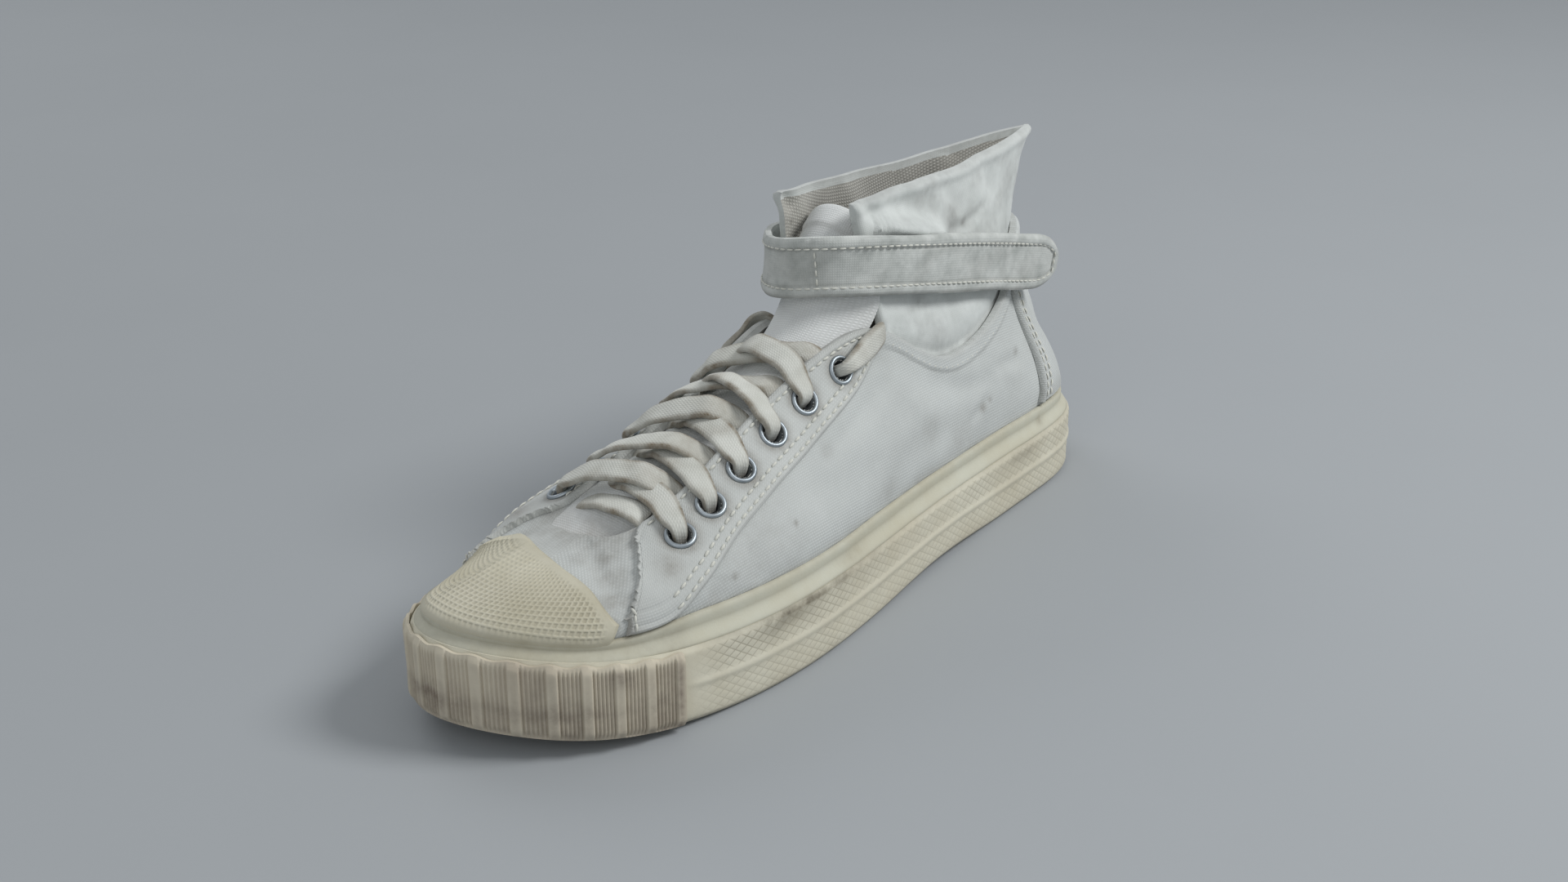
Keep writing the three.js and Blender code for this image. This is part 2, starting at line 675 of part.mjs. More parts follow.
// From the mouth of an eyelet over the throat, to where the lace dives below the next eyelet across
function laceStrand(side, i) {
  const start = eyeletAt(side, i);
  const edge = besideEyelet(side, i, LACE_PLACES.edge);
  const mouth = start.point.clone().lerp(edge, LACE.lead).addScaledVector(start.normal, LACE_MOUTH);
  const over = besideEyelet(side, i, LACE_PLACES.over);
  const dive = besideEyelet(otherSide(side), i + 1, LACE_PLACES.dive);
  const crossing = between(over, dive);
  const flat = between(edge, besideEyelet(otherSide(side), i + 1, LACE_PLACES.edge));
  crossing.addScaledVector(THROAT_UP, LACE_RISE[side] - crossing.clone().sub(flat).dot(THROAT_UP));
  const faceAt = (a) => start.normal.clone().lerp(THROAT_UP, clamp01(a * LACE.turn));
  return laceBand([mouth, over, crossing, dive], faceAt);
}

function laceCrossGeometry(i) {
  return geometryOf(solidOf(laceStrand('lateral', i)).add(solidOf(laceStrand('medial', i))));
}

function laceBarGeometry() {
  const [outer, inner] = ['lateral', 'medial'].map((side) => besideEyelet(side, 1, LACE_PLACES.bar));
  const middle = between(outer, inner).addScaledVector(THROAT_UP, LACE_BAR_RISE);
  return laceBand([outer, middle, inner], () => THROAT_UP);
}

function laceEndGeometry(side) {
  const start = eyeletAt(side, EYELET_PLACES.length);
  const sign = side === 'lateral' ? -1 : 1;
  const [stayStep, stayShare] = LACE_END.onStay;
  const [edgeStep, edgeShare] = LACE_END.atEdge;
  const lift = LACE_SEAT + LACE_END.lift;
  const mouth = start.point.clone().addScaledVector(start.normal, LACE_MOUTH);
  const onStay = onUpper(start.s + sign * stayStep, stayShare, lift + LACE_END.arch);
  const atEdge = onUpper(start.s + sign * edgeStep, edgeShare, lift);
  const curve = new THREE.CatmullRomCurve3([mouth, onStay, atEdge]);
  const aim = (_, along) => new THREE.Vector3().crossVectors(start.normal, along);
  return bandGeometry(curve, LACE_END.steps, () => LACE.width * LACE_END.folded, LACE.wall, aim);
}

const shoe = new THREE.Group();

function addPiece(name, geometry, finish) {
  const piece = new THREE.Mesh(geometry, new THREE.MeshStandardMaterial(finish));
  piece.name = name;
  shoe.add(piece);
}

const RUBBER = { color: 0xcfc8b4, roughness: 0.7, metalness: 0 };
const CREAM_RUBBER = { color: 0xd8d2bf, roughness: 0.65, metalness: 0 };
const CANVAS = { color: 0xc9cac8, roughness: 0.95, metalness: 0 };
const CUFF_CLOTH = { color: 0xbfc0be, roughness: 0.9, metalness: 0 };
const ALUMINIUM = { color: 0xa9adb0, roughness: 0.35, metalness: 1 };
const LACE_COTTON = { color: 0xcbc8bc, roughness: 0.95, metalness: 0 };
const LINING = { color: 0xb9b7ae, roughness: 0.95, metalness: 0 };

addPiece('outsole', outsoleGeometry(), RUBBER);
addPiece('foxing', foxingGeometry(), RUBBER);
addPiece('toe_bumper', bumperGeometry(), RUBBER);
addPiece('foxing_stripe', stripeGeometry(), CREAM_RUBBER);
addPiece('insole', insoleGeometry(), LINING);
addPiece('upper', punched(upperGeometry(), eyelets), CANVAS);
addPiece('toe_cap', panelGeometry(PANELS.toe_cap), CREAM_RUBBER);
['lateral', 'medial'].forEach((side) => {
  const holes = eyelets.filter((eyelet) => eyelet.side === side);
  addPiece(`eyestay_${side}`, punched(panelGeometry(PANELS[`eyestay_${side}`]), holes), CANVAS);
});
addPiece('back_stay', panelGeometry(PANELS.back_stay), CANVAS);
addPiece('cuff', cuffGeometry(), CUFF_CLOTH);
addPiece('tongue', tongueGeometry(), LINING);
addPiece('strap', strapGeometry(), CANVAS);
eyelets.forEach((eyelet) => addPiece(eyelet.name, eyeletGeometry(eyelet), ALUMINIUM));
addPiece('lace_bar', laceBarGeometry(), LACE_COTTON);
range(EYELET_PLACES.length - 1).forEach((i) => {
  addPiece(`lace_cross_${i + 1}`, laceCrossGeometry(i + 1), LACE_COTTON);
});
['lateral', 'medial'].forEach((side) => addPiece(`lace_end_${side}`, laceEndGeometry(side), LACE_COTTON));

const box = new THREE.Box3().setFromObject(shoe);
const middle = box.getCenter(new THREE.Vector3());
shoe.position.set(-middle.x, -middle.y, -box.min.z);

export default shoe;
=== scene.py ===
"""Looks of a worn high-top canvas sneaker, a left shoe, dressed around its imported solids.

Sizes are millimetres in the last's own axes: +X to the toe, +Y to the outer side, +Z up.
Meshes are written in metres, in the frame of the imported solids.
"""

import logging
import math
from collections.abc import Callable, Sequence
from dataclasses import dataclass, field
from enum import Enum

import bpy
import numpy as np
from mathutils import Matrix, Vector, noise


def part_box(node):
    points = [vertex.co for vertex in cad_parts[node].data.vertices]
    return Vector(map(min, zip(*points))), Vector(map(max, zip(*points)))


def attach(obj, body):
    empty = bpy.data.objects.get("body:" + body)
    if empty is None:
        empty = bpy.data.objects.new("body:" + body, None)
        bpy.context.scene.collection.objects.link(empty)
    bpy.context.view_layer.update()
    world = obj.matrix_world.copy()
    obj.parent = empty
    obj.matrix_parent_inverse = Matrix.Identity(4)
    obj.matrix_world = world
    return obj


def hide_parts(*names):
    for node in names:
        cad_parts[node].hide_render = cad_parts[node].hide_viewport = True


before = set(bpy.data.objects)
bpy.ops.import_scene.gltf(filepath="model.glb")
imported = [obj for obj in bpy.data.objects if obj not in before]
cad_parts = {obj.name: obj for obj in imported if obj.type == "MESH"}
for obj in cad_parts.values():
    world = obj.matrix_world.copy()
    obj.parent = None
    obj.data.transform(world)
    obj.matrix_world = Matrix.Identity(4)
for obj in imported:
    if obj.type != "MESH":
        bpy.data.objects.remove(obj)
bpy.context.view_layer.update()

log = logging.getLogger("sneaker")

# Arrays of points or of values at them, forms that give points for pairs of places, and rows of sizes
Grid = np.ndarray
Marks = dict[str, Grid]
Surface = Callable[..., Grid]
Pair = tuple[float, float]
Triple = tuple[float, float, float]
Table = tuple[tuple[float, ...], ...]
Tree = bpy.types.NodeTree
Node = bpy.types.Node
Socket = bpy.types.NodeSocket

MM = 0.001
STEP = 0.001
# Gap between rubber pieces that lie on each other
FIT = 0.3
# Repeat of the net on the side tape, along the tape and up it
HATCH_MM = (4.4, 2.9)
# Edges that turn by more than this stay sharp
SHARP_DEG = 62.0
# Width of one repeat of Blender's wave texture at scale 1, straight and on the diagonal
WAVE_STRAIGHT = 0.3142
WAVE_DIAGONAL = 0.4443
BODY = "root"


class Side(Enum):
    """The two sides of the shoe, with the sign of their Y axis."""

    LATERAL = 1
    MEDIAL = -1

    @property
    def word(self) -> str:
        """The side's name in the names of nodes."""
        return self.name.lower()

    @property
    def other(self) -> "Side":
        """The side across the throat."""
        return Side.MEDIAL if self is Side.LATERAL else Side.LATERAL


# Form of the last


def smooth(low: float, high: float, x: Grid) -> Grid:
    """Eased step from 0 at low to 1 at high."""
    t = np.clip((np.asarray(x, float) - low) / (high - low), 0.0, 1.0)
    return t * t * (3.0 - 2.0 * t)


def hump(distance: Grid, width: float) -> Grid:
    """Soft bell that is 1 at no distance and fades over the width."""
    return np.exp(-((np.asarray(distance, float) / width) ** 2))


def unit(vectors: Grid) -> Grid:
    """Vectors scaled to length 1."""
    return vectors / np.maximum(np.linalg.norm(vectors, axis=-1, keepdims=True), 1e-12)


def between(low: float, high: float, fade: float, x: Grid) -> Grid:
    """1 between two bounds, with eased edges inside them."""
    return smooth(low, low + fade, x) * (1.0 - smooth(high - fade, high, x))


def off_line(x: Grid) -> Grid:
    """Distance from the nearest whole number."""
    return np.abs(x - np.round(x))


def apart(points: Grid, other: Grid) -> Grid:
    """Distances between points."""
    return np.linalg.norm(points - other, axis=-1)


def lumps(points: Grid, size: float, seed: float = 0.0) -> Grid:
    """Soft irregular heights from about -1 to 1.

    Args:
        points: Places in millimetres, any shape ending in 3.
        size: Width of one lump in millimetres.
        seed: Shift that gives another set of lumps.

    Returns:
        One height for each place.
    """
    places = (np.asarray(points, float).reshape(-1, 3) / size + seed).tolist()
    heights = np.array([noise.noise(place) for place in places])
    return heights.reshape(np.shape(points)[:-1])


class RoundSpline:
    """Smooth closed run of values at whole stations round the shoe."""

    def __init__(self, values: Sequence[float]) -> None:
        """Works out the bend at each station from the values there."""
        self.values = np.asarray(values, float)
        same = np.eye(len(self.values))
        load = 6.0 * (np.roll(self.values, -1) - 2.0 * self.values + np.roll(self.values, 1))
        self.bend = np.linalg.solve(4.0 * same + np.roll(same, 1, 0) + np.roll(same, -1, 0), load)

    def __call__(self, s: Grid) -> Grid:
        """Values at places round the shoe, in stations."""
        count = len(self.values)
        place = np.mod(s, count)
        here = np.floor(place).astype(int) % count
        after = (here + 1) % count
        t = place - np.floor(place)
        u = 1.0 - t
        bent = (u**3 - u) * self.bend[here] + (t**3 - t) * self.bend[after]
        return u * self.values[here] + t * self.values[after] + bent / 6.0


class OpenCurve:
    """Smooth curve through points, an equal share of the way to each stretch."""

    def __init__(self, points: Sequence[Sequence[float]]) -> None:
        """Keeps the points, with one more beyond each end."""
        p = np.asarray(points, float)
        self.points = np.vstack([2.0 * p[0] - p[1], p, 2.0 * p[-1] - p[-2]])

    def __call__(self, t: Grid) -> Grid:
        """Points at shares of the way from 0 to 1."""
        stretches = len(self.points) - 3
        place = np.clip(np.asarray(t, float), 0.0, 1.0) * stretches
        i = np.minimum(np.floor(place).astype(int), stretches - 1)
        w = (place - i)[..., None]
        before, start, end, after = (self.points[i + k] for k in range(4))
        gaps = [
            np.sqrt(np.linalg.norm(b - a, axis=-1, keepdims=True))
            for a, b in ((before, start), (start, end), (end, after))
        ]
        first, here, last = gaps
        middle = (end - start) / here
        leave = ((start - before) / first - (end - before) / (first + here) + middle) * here
        arrive = (middle - (after - start) / (here + last) + (after - end) / last) * here
        cubic = 2.0 * start - 2.0 * end + leave + arrive
        square = -3.0 * start + 3.0 * end - 2.0 * leave - arrive
        return start + w * (leave + w * (square + w * cubic))

    def along(self, t: Grid) -> Grid:
        """Unit directions of travel at shares of the way."""
        t = np.clip(np.asarray(t, float), STEP, 1.0 - STEP)
        return unit(self(t + STEP) - self(t - STEP))


def even_curve(rows: Sequence[Sequence[float]], t: Grid) -> Grid:
    """Rows of a table blended smoothly at shares of the way down it.

    Args:
        rows: Table of numbers, a row for each step.
        t: Shares from 0 to 1.

    Returns:
        A blended row for each share.
    """
    p = np.asarray(rows, float)
    place = np.clip(np.asarray(t, float), 0.0, 1.0) * (len(p) - 1)
    i = np.minimum(np.floor(place).astype(int), len(p) - 2)
    w = (place - i)[..., None]
    before, start = p[np.maximum(i - 1, 0)], p[i]
    end, after = p[i + 1], p[np.minimum(i + 2, len(p) - 1)]
    leave, arrive = (end - before) / 2.0, (after - start) / 2.0
    cubic = 2.0 * start - 2.0 * end + leave + arrive
    square = -3.0 * start + 3.0 * end - 2.0 * leave - arrive
    return start + w * (leave + w * (square + w * cubic))


# Sections from the back of the heel along the outer side to the toe and back along the inner side.
# Sole and top edge are percentages of half the length, half the ball width and the instep height.
# Rise and bulge lead a rib away from the sole, drop and flare lead it into the top edge.
STATION_COLUMNS = ("sole_x", "sole_y", "top_x", "top_y", "top_z", "rise", "bulge", "drop", "flare")
STATIONS = (
    (-100, 2, -89, -4, 112.3, 12, 0.5, 26, -1),
    (-89.7, 58, -76.5, 24.5, 105, 14, 0.5, 24, -0.5),
    (-68.5, 73.7, -61, 46.3, 89.5, 16, 2, 18, 3),
    (-41, 78.7, -32.5, 58.3, 83, 12, 1.5, 12, 3),
    (-17, 85.3, -12, 47.4, 104, 20, 2.5, 20, 5),
    (7, 94.7, 9.6, 40, 101, 16, 2.5, 16, 9),
    (31, 101, 31, 37.5, 86, 14, 2, 10, 12),
    (55, 95.4, 51, 36, 69.5, 11, 2, 5, 13.5),
    (75.3, 79, 62.3, 22, 61.5, 8, 2.5, 3, 17),
    (91, 43.8, 64.3, 6, 59.6, 6, 2.5, 3, 21),
    (100, -17, 64.5, -9, 58, 4.5, 2, 3, 24),
    (92.5, -60.5, 63.7, -23, 57.5, 4, 1.5, 3, 20),
    (76.7, -79, 61.3, -31.6, 58, 4.5, 1, 3, 15),
    (55, -93, 50.7, -29.5, 65.5, 8, 1.5, 5, 13),
    (31, -95.8, 30, -28.4, 77.8, 11, 1.5, 9, 12),
    (7, -85.3, 9, -32.6, 90, 14, 1.5, 14, 10),
    (-17, -72.8, -10.3, -42, 96.3, 18, 1.5, 18, 6),
    (-41, -68.8, -33, -57, 80, 12, 1.5, 12, 3),
    (-68.5, -69, -61, -52.6, 87.7, 16, 2, 18, 2),
    (-89.7, -50.5, -78, -36.8, 103.7, 14, 1.5, 24, 0),
)


@dataclass
class Last:
    """The form that the shoe was made on, and the lines of its sole."""

    length: float = 292.0
    ball_width: float = 95.0
    instep: float = 81.0
    toe_spring: Triple = (60.0, 146.0, 8.0)
    heel_bevel: Triple = (-112.0, -146.0, 2.5)
    arch: tuple[float, float, float, float] = (-78.0, -32.0, 14.0, 1.5)
    tape_heel: float = 22.8
    tape_toe: float = 24.8
    tape_ramp: Pair = (-120.0, 100.0)
    stripe_heights: Triple = (7.0, 8.0, 3.8)
    stripe_heel_ramp: Pair = (-130.0, -60.0)
    stripe_toe_ramp: Pair = (85.0, 125.0)
    inset: float = 5.1
    column: dict[str, RoundSpline] = field(init=False)

    def __post_init__(self) -> None:
        """Turns the table of stations into smooth columns in millimetres."""
        half, wide, high = self.length / 200.0, self.ball_width / 200.0, self.instep / 100.0
        units = (half, wide, half, wide, high, 1.0, 1.0, 1.0, 1.0)
        table = np.array(STATIONS, float) * units
        self.column = {name: RoundSpline(table[:, k]) for k, name in enumerate(STATION_COLUMNS)}

    @property
    def stations(self) -> int:
        """How many stations go round the shoe."""
        return len(STATIONS)

    def round_grid(self, columns: int, rows: int) -> tuple[Grid, Grid]:
        """Places round the whole shoe as a column, and shares from 0 to 1 as a row."""
        s = np.linspace(0.0, self.stations, columns, endpoint=False)[:, None]
        return s, np.linspace(0.0, 1.0, rows)[None]

    def floor_line(self, x: Grid) -> Grid:
        """Height of the sole's underside along the shoe."""

        def ease(part: Triple) -> Grid:
            """Square rise of one end of the sole."""
            return part[2] * np.clip((x - part[0]) / (part[1] - part[0]), 0.0, 1.0) ** 2

        start, top, end, height = self.arch
        arch = height * smooth(start, top, x) * (1.0 - smooth(top, end, x))
        return ease(self.toe_spring) + ease(self.heel_bevel) + arch

    def toe_lift(self, x: Grid) -> Grid:
        """How far the toe spring lifts what lies over the sole."""
        lifted = self.floor_line(x) * smooth(self.arch[2], self.toe_spring[0], x)
        return np.where(np.asarray(x) > 0.0, lifted, 0.0)

    def tape_top(self, x: Grid) -> Grid:
        """Height of the side tape's top edge."""
        rise = (self.tape_toe - self.tape_heel) * smooth(*self.tape_ramp, x)
        return self.tape_heel + rise + self.toe_lift(x)

    def feather_line(self, x: Grid) -> Grid:
        """Height at which the upper comes out of the stripe above the tape."""
        heel, waist, toe = self.stripe_heights
        height = heel + (waist - heel) * smooth(*self.stripe_heel_ramp, x)
        return self.tape_top(x) + height + (toe - waist) * smooth(*self.stripe_toe_ramp, x)

    def sole_x(self, s: Grid) -> Grid:
        """Place along the shoe of the sole's outline."""
        return self.column["sole_x"](s)

    def outward(self, s: Grid) -> Grid:
        """Level directions that point out of the sole's outline."""
        dx = self.column["sole_x"](s + STEP) - self.column["sole_x"](s - STEP)
        dy = self.column["sole_y"](s + STEP) - self.column["sole_y"](s - STEP)
        return unit(np.stack([-dy, dx, np.zeros_like(dx)], -1))

    def sole(self, s: Grid, offset: Grid, z: Grid) -> Grid:
        """Points beside the sole's outline.

        Args:
            s: Places round the shoe, in stations.
            offset: Distances out of the outline.
            z: Heights over the floor.

        Returns:
            Points in millimetres.
        """
        s, offset, z = np.broadcast_arrays(np.asarray(s, float), offset, z)
        points = np.stack([self.column["sole_x"](s), self.column["sole_y"](s), z], -1)
        return points + self.outward(s) * offset[..., None]

    def rib(self, s: Grid, v: Grid) -> Grid:
        """Points of the upper's form, from the feather line at v 0 to its top edge at v 1."""
        s, v = np.broadcast_arrays(np.asarray(s, float), np.asarray(v, float))
        value = {name: self.column[name](s)[..., None] for name in STATION_COLUMNS[2:]}
        out, up = self.outward(s), np.array([0.0, 0.0, 1.0])
        base = self.sole(s, -self.inset, self.feather_line(self.sole_x(s)))
        leave = base + out * value["bulge"] + up * value["rise"]
        top = np.concatenate([value["top_x"], value["top_y"], value["top_z"]], -1)
        arrive = top + out * value["flare"] - up * value["drop"]
        t, w = v[..., None], 1.0 - v[..., None]
        return base * w**3 + leave * 3.0 * w * w * t + arrive * 3.0 * w * t * t + top * t**3


def normals(surface: Surface, s: Grid, v: Grid) -> Grid:
    """Unit normals of a surface of two parameters, out of the shoe."""
    along = surface(s + STEP, v) - surface(s - STEP, v)
    up = surface(s, v + STEP) - surface(s, v - STEP)
    return unit(np.cross(up, along))


@dataclass(frozen=True)
class Crease:
    """A soft trough, or a ridge where the depth is below zero, along places on a surface."""

    line: Table
    width: float
    depth: float


def creased(points: Grid, surface: Surface, creases: Sequence[Crease]) -> Grid:
    """Heights that creases give to points of a surface.

    Args:
        points: Points of the surface.
        surface: Gives a point for each pair of places.
        creases: Troughs and ridges, placed one by one.

    Returns:
        A height for each point, below zero in a trough.
    """
    samples = 24
    flat = points.reshape(-1, 3)
    height = np.zeros(len(flat))
    shares = np.linspace(0.0, 1.0, samples)
    taper = np.sin(np.pi * np.linspace(0.04, 0.96, samples)) ** 0.7
    for crease in creases:
        places = even_curve(crease.line, shares)
        path = surface(places[:, 0], places[:, 1])
        reach = 3.0 * crease.width
        near = np.all((flat > path.min(0) - reach) & (flat < path.max(0) + reach), axis=1)
        far = apart(flat[near][:, None], path[None])
        nearest = far.argmin(1)
        share = far[np.arange(len(far)), nearest] / crease.width
        profile = np.exp(-share * share) * (1.0 - 0.6 * share * share)
        height[near] -= crease.depth * taper[nearest] * profile
    return height.reshape(points.shape[:-1])


def spotted(points: Grid, surface: Surface, spots: Sequence[Sequence[float]]) -> Grid:
    """Strength of soft marks at points of a surface.

    Args:
        points: Points of the surface.
        surface: Gives a point for each pair of places.
        spots: Two places on the surface, width and strength of each mark.

    Returns:
        The strongest mark's strength at each point.
    """
    strength = np.zeros(points.shape[:-1])
    for a, b, width, dark in spots:
        centre = surface(np.array(a), np.array(b))
        strength = np.maximum(strength, dark * hump(apart(points, centre), width))
    return strength


# Finishes


def linear(colour: str) -> tuple[float, float, float, float]:
    """An sRGB hex colour as linear light, with full alpha."""
    shares = [int(colour[i : i + 2], 16) / 255.0 for i in (1, 3, 5)]
    light = [c / 12.92 if c <= 0.04045 else ((c + 0.055) / 1.055) ** 2.4 for c in shares]
    return (*light, 1.0)


def add_node(tree: Tree, kind: str, sockets: dict[str | int, object], **settings: object) -> Node:
    """Adds a shader node, sets it up and fills or links its sockets.

    Args:
        tree: Node tree of a material.
        kind: Blender's name of the node, after "ShaderNode".
        sockets: Socket name or number to a value, or to the output of another node.
        settings: Properties of the node.

    Returns:
        The new node.
    """
    node = tree.nodes.new("ShaderNode" + kind)
    for name, value in settings.items():
        setattr(node, name, value)
    for socket, value in sockets.items():
        if isinstance(value, Socket):
            tree.links.new(value, node.inputs[socket])
        else:
            node.inputs[socket].default_value = value
    return node


@dataclass(frozen=True)
class Finish:
    """What every surface has: a clean, a faded and a dark colour for dirt and painted shade, and patches
    of wear.
    """

    name: str
    clean: str
    faded: str
    soiled_and_shaded: str
    roughness: float
    patch_mm: float = 26.0
    speck_mm: float = 5.0

    def start(self) -> tuple[bpy.types.Material, Tree, Node]:
        """Makes an empty material with one shader.

        Returns:
            The material, its node tree and its shader.
        """
        material = bpy.data.materials.new(self.name)
        material.use_nodes = True
        tree = material.node_tree
        tree.nodes.clear()
        shader = add_node(tree, "BsdfPrincipled", {"Roughness": self.roughness})
        add_node(tree, "OutputMaterial", {"Surface": shader.outputs[0]})
        return material, tree, shader

    def worn_and_shaded_colour(self, tree: Tree) -> Socket:
        """Clean colour that fades in patches and darkens with dirt and painted shade where its piece says
        so.

        Args:
            tree: Node tree of the material.

        Returns:
            The colour.
        """
        place = add_node(tree, "TexCoord", {}).outputs["Object"]
        clouds = []
        # Size, detail, roughness and range of the faded patches, and then of the specks that break up the
        # dirt and the painted shade
        for size, detail, rough, low, high in (
            (self.patch_mm, 5.0, 0.62, 0.38, 0.68),
            (self.speck_mm, 6.0, 0.7, 0.3, 0.66),
        ):
            spread = {"Scale": 1.0 / (size * MM), "Detail": detail, "Roughness": rough}
            cloud = add_node(tree, "TexNoise", {"Vector": place, **spread}).outputs["Fac"]
            eased = add_node(tree, "MapRange", {"Value": cloud, "From Min": low, "From Max": high})
            clouds.append(eased.outputs[0])
        clean, faded = linear(self.clean), linear(self.faded)
        base = add_node(tree, "Mix", {0: clouds[0], 6: clean, 7: faded}, data_type="RGBA")
        # The piece's darkening mark holds real dirt and, on some pieces, painted shade and painted
        # highlights
        dirt = add_node(tree, "Attribute", {}, attribute_name="dirt").outputs["Fac"]
        broken = add_node(tree, "Math", {0: clouds[1], 1: 0.75, 2: 0.35}, operation="MULTIPLY_ADD")
        amount = {0: dirt, 1: broken.outputs[0]}
        darkening = add_node(tree, "Math", amount, operation="MULTIPLY", use_clamp=True)
        sockets = {0: darkening.outputs[0], 6: base.outputs[2], 7: linear(self.soiled_and_shaded)}
        return add_node(tree, "Mix", sockets, data_type="RGBA").outputs[2]

    def shaded(self, tree: Tree, colour: Socket, dark: str) -> Socket:
        """A colour that darkens in the grooves of its piece."""
        shade = add_node(tree, "Attribute", {}, attribute_name="shade").outputs["Fac"]
        return add_node(tree, "Mix", {0: shade, 6: colour, 7: linear(dark)}, data_type="RGBA").outputs[2]


    def grain(
        self, tree: Tree, shader: Node, noise_of: dict[str, float], gloss: Pair, bump_of: Pair
    ) -> None:
        """Fine grain that varies the gloss and lifts the surface.

        Args:
            tree: Node tree of the material.
            shader: Its shader.
            noise_of: Settings of the grain's noise.
            gloss: How far the roughness falls and rises.
            bump_of: Strength and height in millimetres of the relief.
        """
        place = add_node(tree, "TexCoord", {}).outputs["Object"]
        grain = add_node(tree, "TexNoise", {"Vector": place, **noise_of}).outputs["Fac"]
        low, high = self.roughness - gloss[0], self.roughness + gloss[1]
        rough = add_node(tree, "MapRange", {"Value": grain, "To Min": low, "To Max": high})
        strength, height = bump_of
        bump = add_node(tree, "Bump", {"Height": grain, "Strength": strength, "Distance": height * MM})
        tree.links.new(rough.outputs[0], shader.inputs["Roughness"])
        tree.links.new(bump.outputs[0], shader.inputs["Normal"])


@dataclass(frozen=True)
class Cloth(Finish):
    """Woven cotton: matt, a little soft at its edges, with threads that catch the light."""

    thread_mm: float = 0.85
    twill: bool = True
    relief_mm: float = 0.16
    groove: str = "#8f8f89"
    groove_share: float = 0.2
    fuzz_mm: float = 10.0 / 9.0
    sheen: float = 0.15

    def material(self) -> bpy.types.Material:
        """Builds the cloth's material."""
        material, tree, shader = self.start()
        flat = add_node(tree, "Attribute", {}, attribute_name="flat").outputs["Vector"]
        # A real thread is about 0.5 mm: it is drawn coarser so that it shows in the render
        warp = ("DIAGONAL", WAVE_DIAGONAL, 0.6) if self.twill else ("X", WAVE_STRAIGHT, 0.6)
        threads = []
        for direction, repeat, stray in (warp, ("Y", WAVE_STRAIGHT, 0.5)):
            wave = {"Scale": repeat / self.thread_mm, "Distortion": stray, "Detail": 2.0}
            sockets = {"Vector": flat, "Detail Scale": 0.4, **wave}
            thread = add_node(tree, "TexWave", sockets, bands_direction=direction)
            threads.append(thread.outputs["Fac"])
        weave = add_node(tree, "Math", {0: threads[0], 1: threads[1]}, operation="MULTIPLY").outputs[0]
        # Painted shade: the worn colour darkens with the piece's shade mark and towards the groove colour
        # in the gaps between the threads
        depth = {"From Max": 0.7, "To Min": self.groove_share, "To Max": 0.0}
        gaps = add_node(tree, "MapRange", {"Value": weave, **depth}).outputs[0]
        worn = self.shaded(tree, self.worn_and_shaded_colour(tree), self.groove)
        colour = add_node(tree, "Mix", {0: gaps, 6: worn, 7: linear(self.groove)}, data_type="RGBA")
        place = add_node(tree, "TexCoord", {}).outputs["Object"]
        spread = {"Scale": 1.0 / (self.fuzz_mm * MM), "Detail": 3.0}
        fuzz = add_node(tree, "TexNoise", {"Vector": place, **spread}).outputs["Fac"]
        height = add_node(tree, "Math", {0: fuzz, 1: 0.35, 2: weave}, operation="MULTIPLY_ADD").outputs[0]
        relief = {"Strength": 0.7, "Distance": self.relief_mm * MM}
        bump = add_node(tree, "Bump", {"Height": height, **relief})
        tree.links.new(colour.outputs[2], shader.inputs["Base Color"])
        tree.links.new(bump.outputs[0], shader.inputs["Normal"])
        shader.inputs["Sheen Weight"].default_value = self.sheen
        shader.inputs["Specular IOR Level"].default_value = 0.2
        return material


@dataclass(frozen=True)
class Rubber(Finish):
    """Moulded vulcanised rubber: yellowed, dull, with fine pores and scuffs."""

    groove: str = "#6f675a"
    pore_mm: float = 1.1
    relief_mm: float = 0.12

    def material(self) -> bpy.types.Material:
        """Builds the rubber's material."""
        material, tree, shader = self.start()
        colour = self.shaded(tree, self.worn_and_shaded_colour(tree), self.groove)
        tree.links.new(colour, shader.inputs["Base Color"])
        pores = {"Scale": 1.0 / (self.pore_mm * MM), "Detail": 5.0, "Roughness": 0.65}
        self.grain(tree, shader, pores, (0.12, 0.14), (0.45, self.relief_mm))
        shader.inputs["IOR"].default_value = 1.52
        shader.inputs["Specular IOR Level"].default_value = 0.22
        return material


@dataclass(frozen=True)
class HatchedRubber(Rubber):
    """Rubber rolled with a net of thin crossed lines, where its piece says so."""

    hatch_mm: Pair = HATCH_MM
    line_share: float = 0.11

    def shaded(self, tree: Tree, colour: Socket, dark: str) -> Socket:
        """A colour that darkens along the crossed lines.

        Args:
            tree: Node tree of the material.
            colour: The colour between the lines.
            dark: Hex colour of the lines.

        Returns:
            The colour.
        """
        flat = add_node(tree, "Attribute", {}, attribute_name="flat").outputs["Vector"]
        ahead, up = self.hatch_mm
        near = []
        for lean in (1.0, -1.0):
            way = (1.0 / ahead, lean / up, 0.0)
            phase = add_node(tree, "VectorMath", {0: flat, 1: way}, operation="DOT_PRODUCT")
            fold = add_node(tree, "Math", {0: phase.outputs["Value"], 1: 0.5}, operation="PINGPONG")
            near.append(fold.outputs[0])
        nearest = add_node(tree, "Math", {0: near[0], 1: near[1]}, operation="MINIMUM").outputs[0]
        edge = {"From Max": self.line_share, "To Min": 1.0, "To Max": 0.0}
        line = add_node(tree, "MapRange", {"Value": nearest, **edge}).outputs[0]
        where = add_node(tree, "Attribute", {}, attribute_name="shade").outputs["Fac"]
        mask = add_node(tree, "Math", {0: line, 1: where}, operation="MULTIPLY").outputs[0]
        return add_node(tree, "Mix", {0: mask, 6: colour, 7: linear(dark)}, data_type="RGBA").outputs[2]


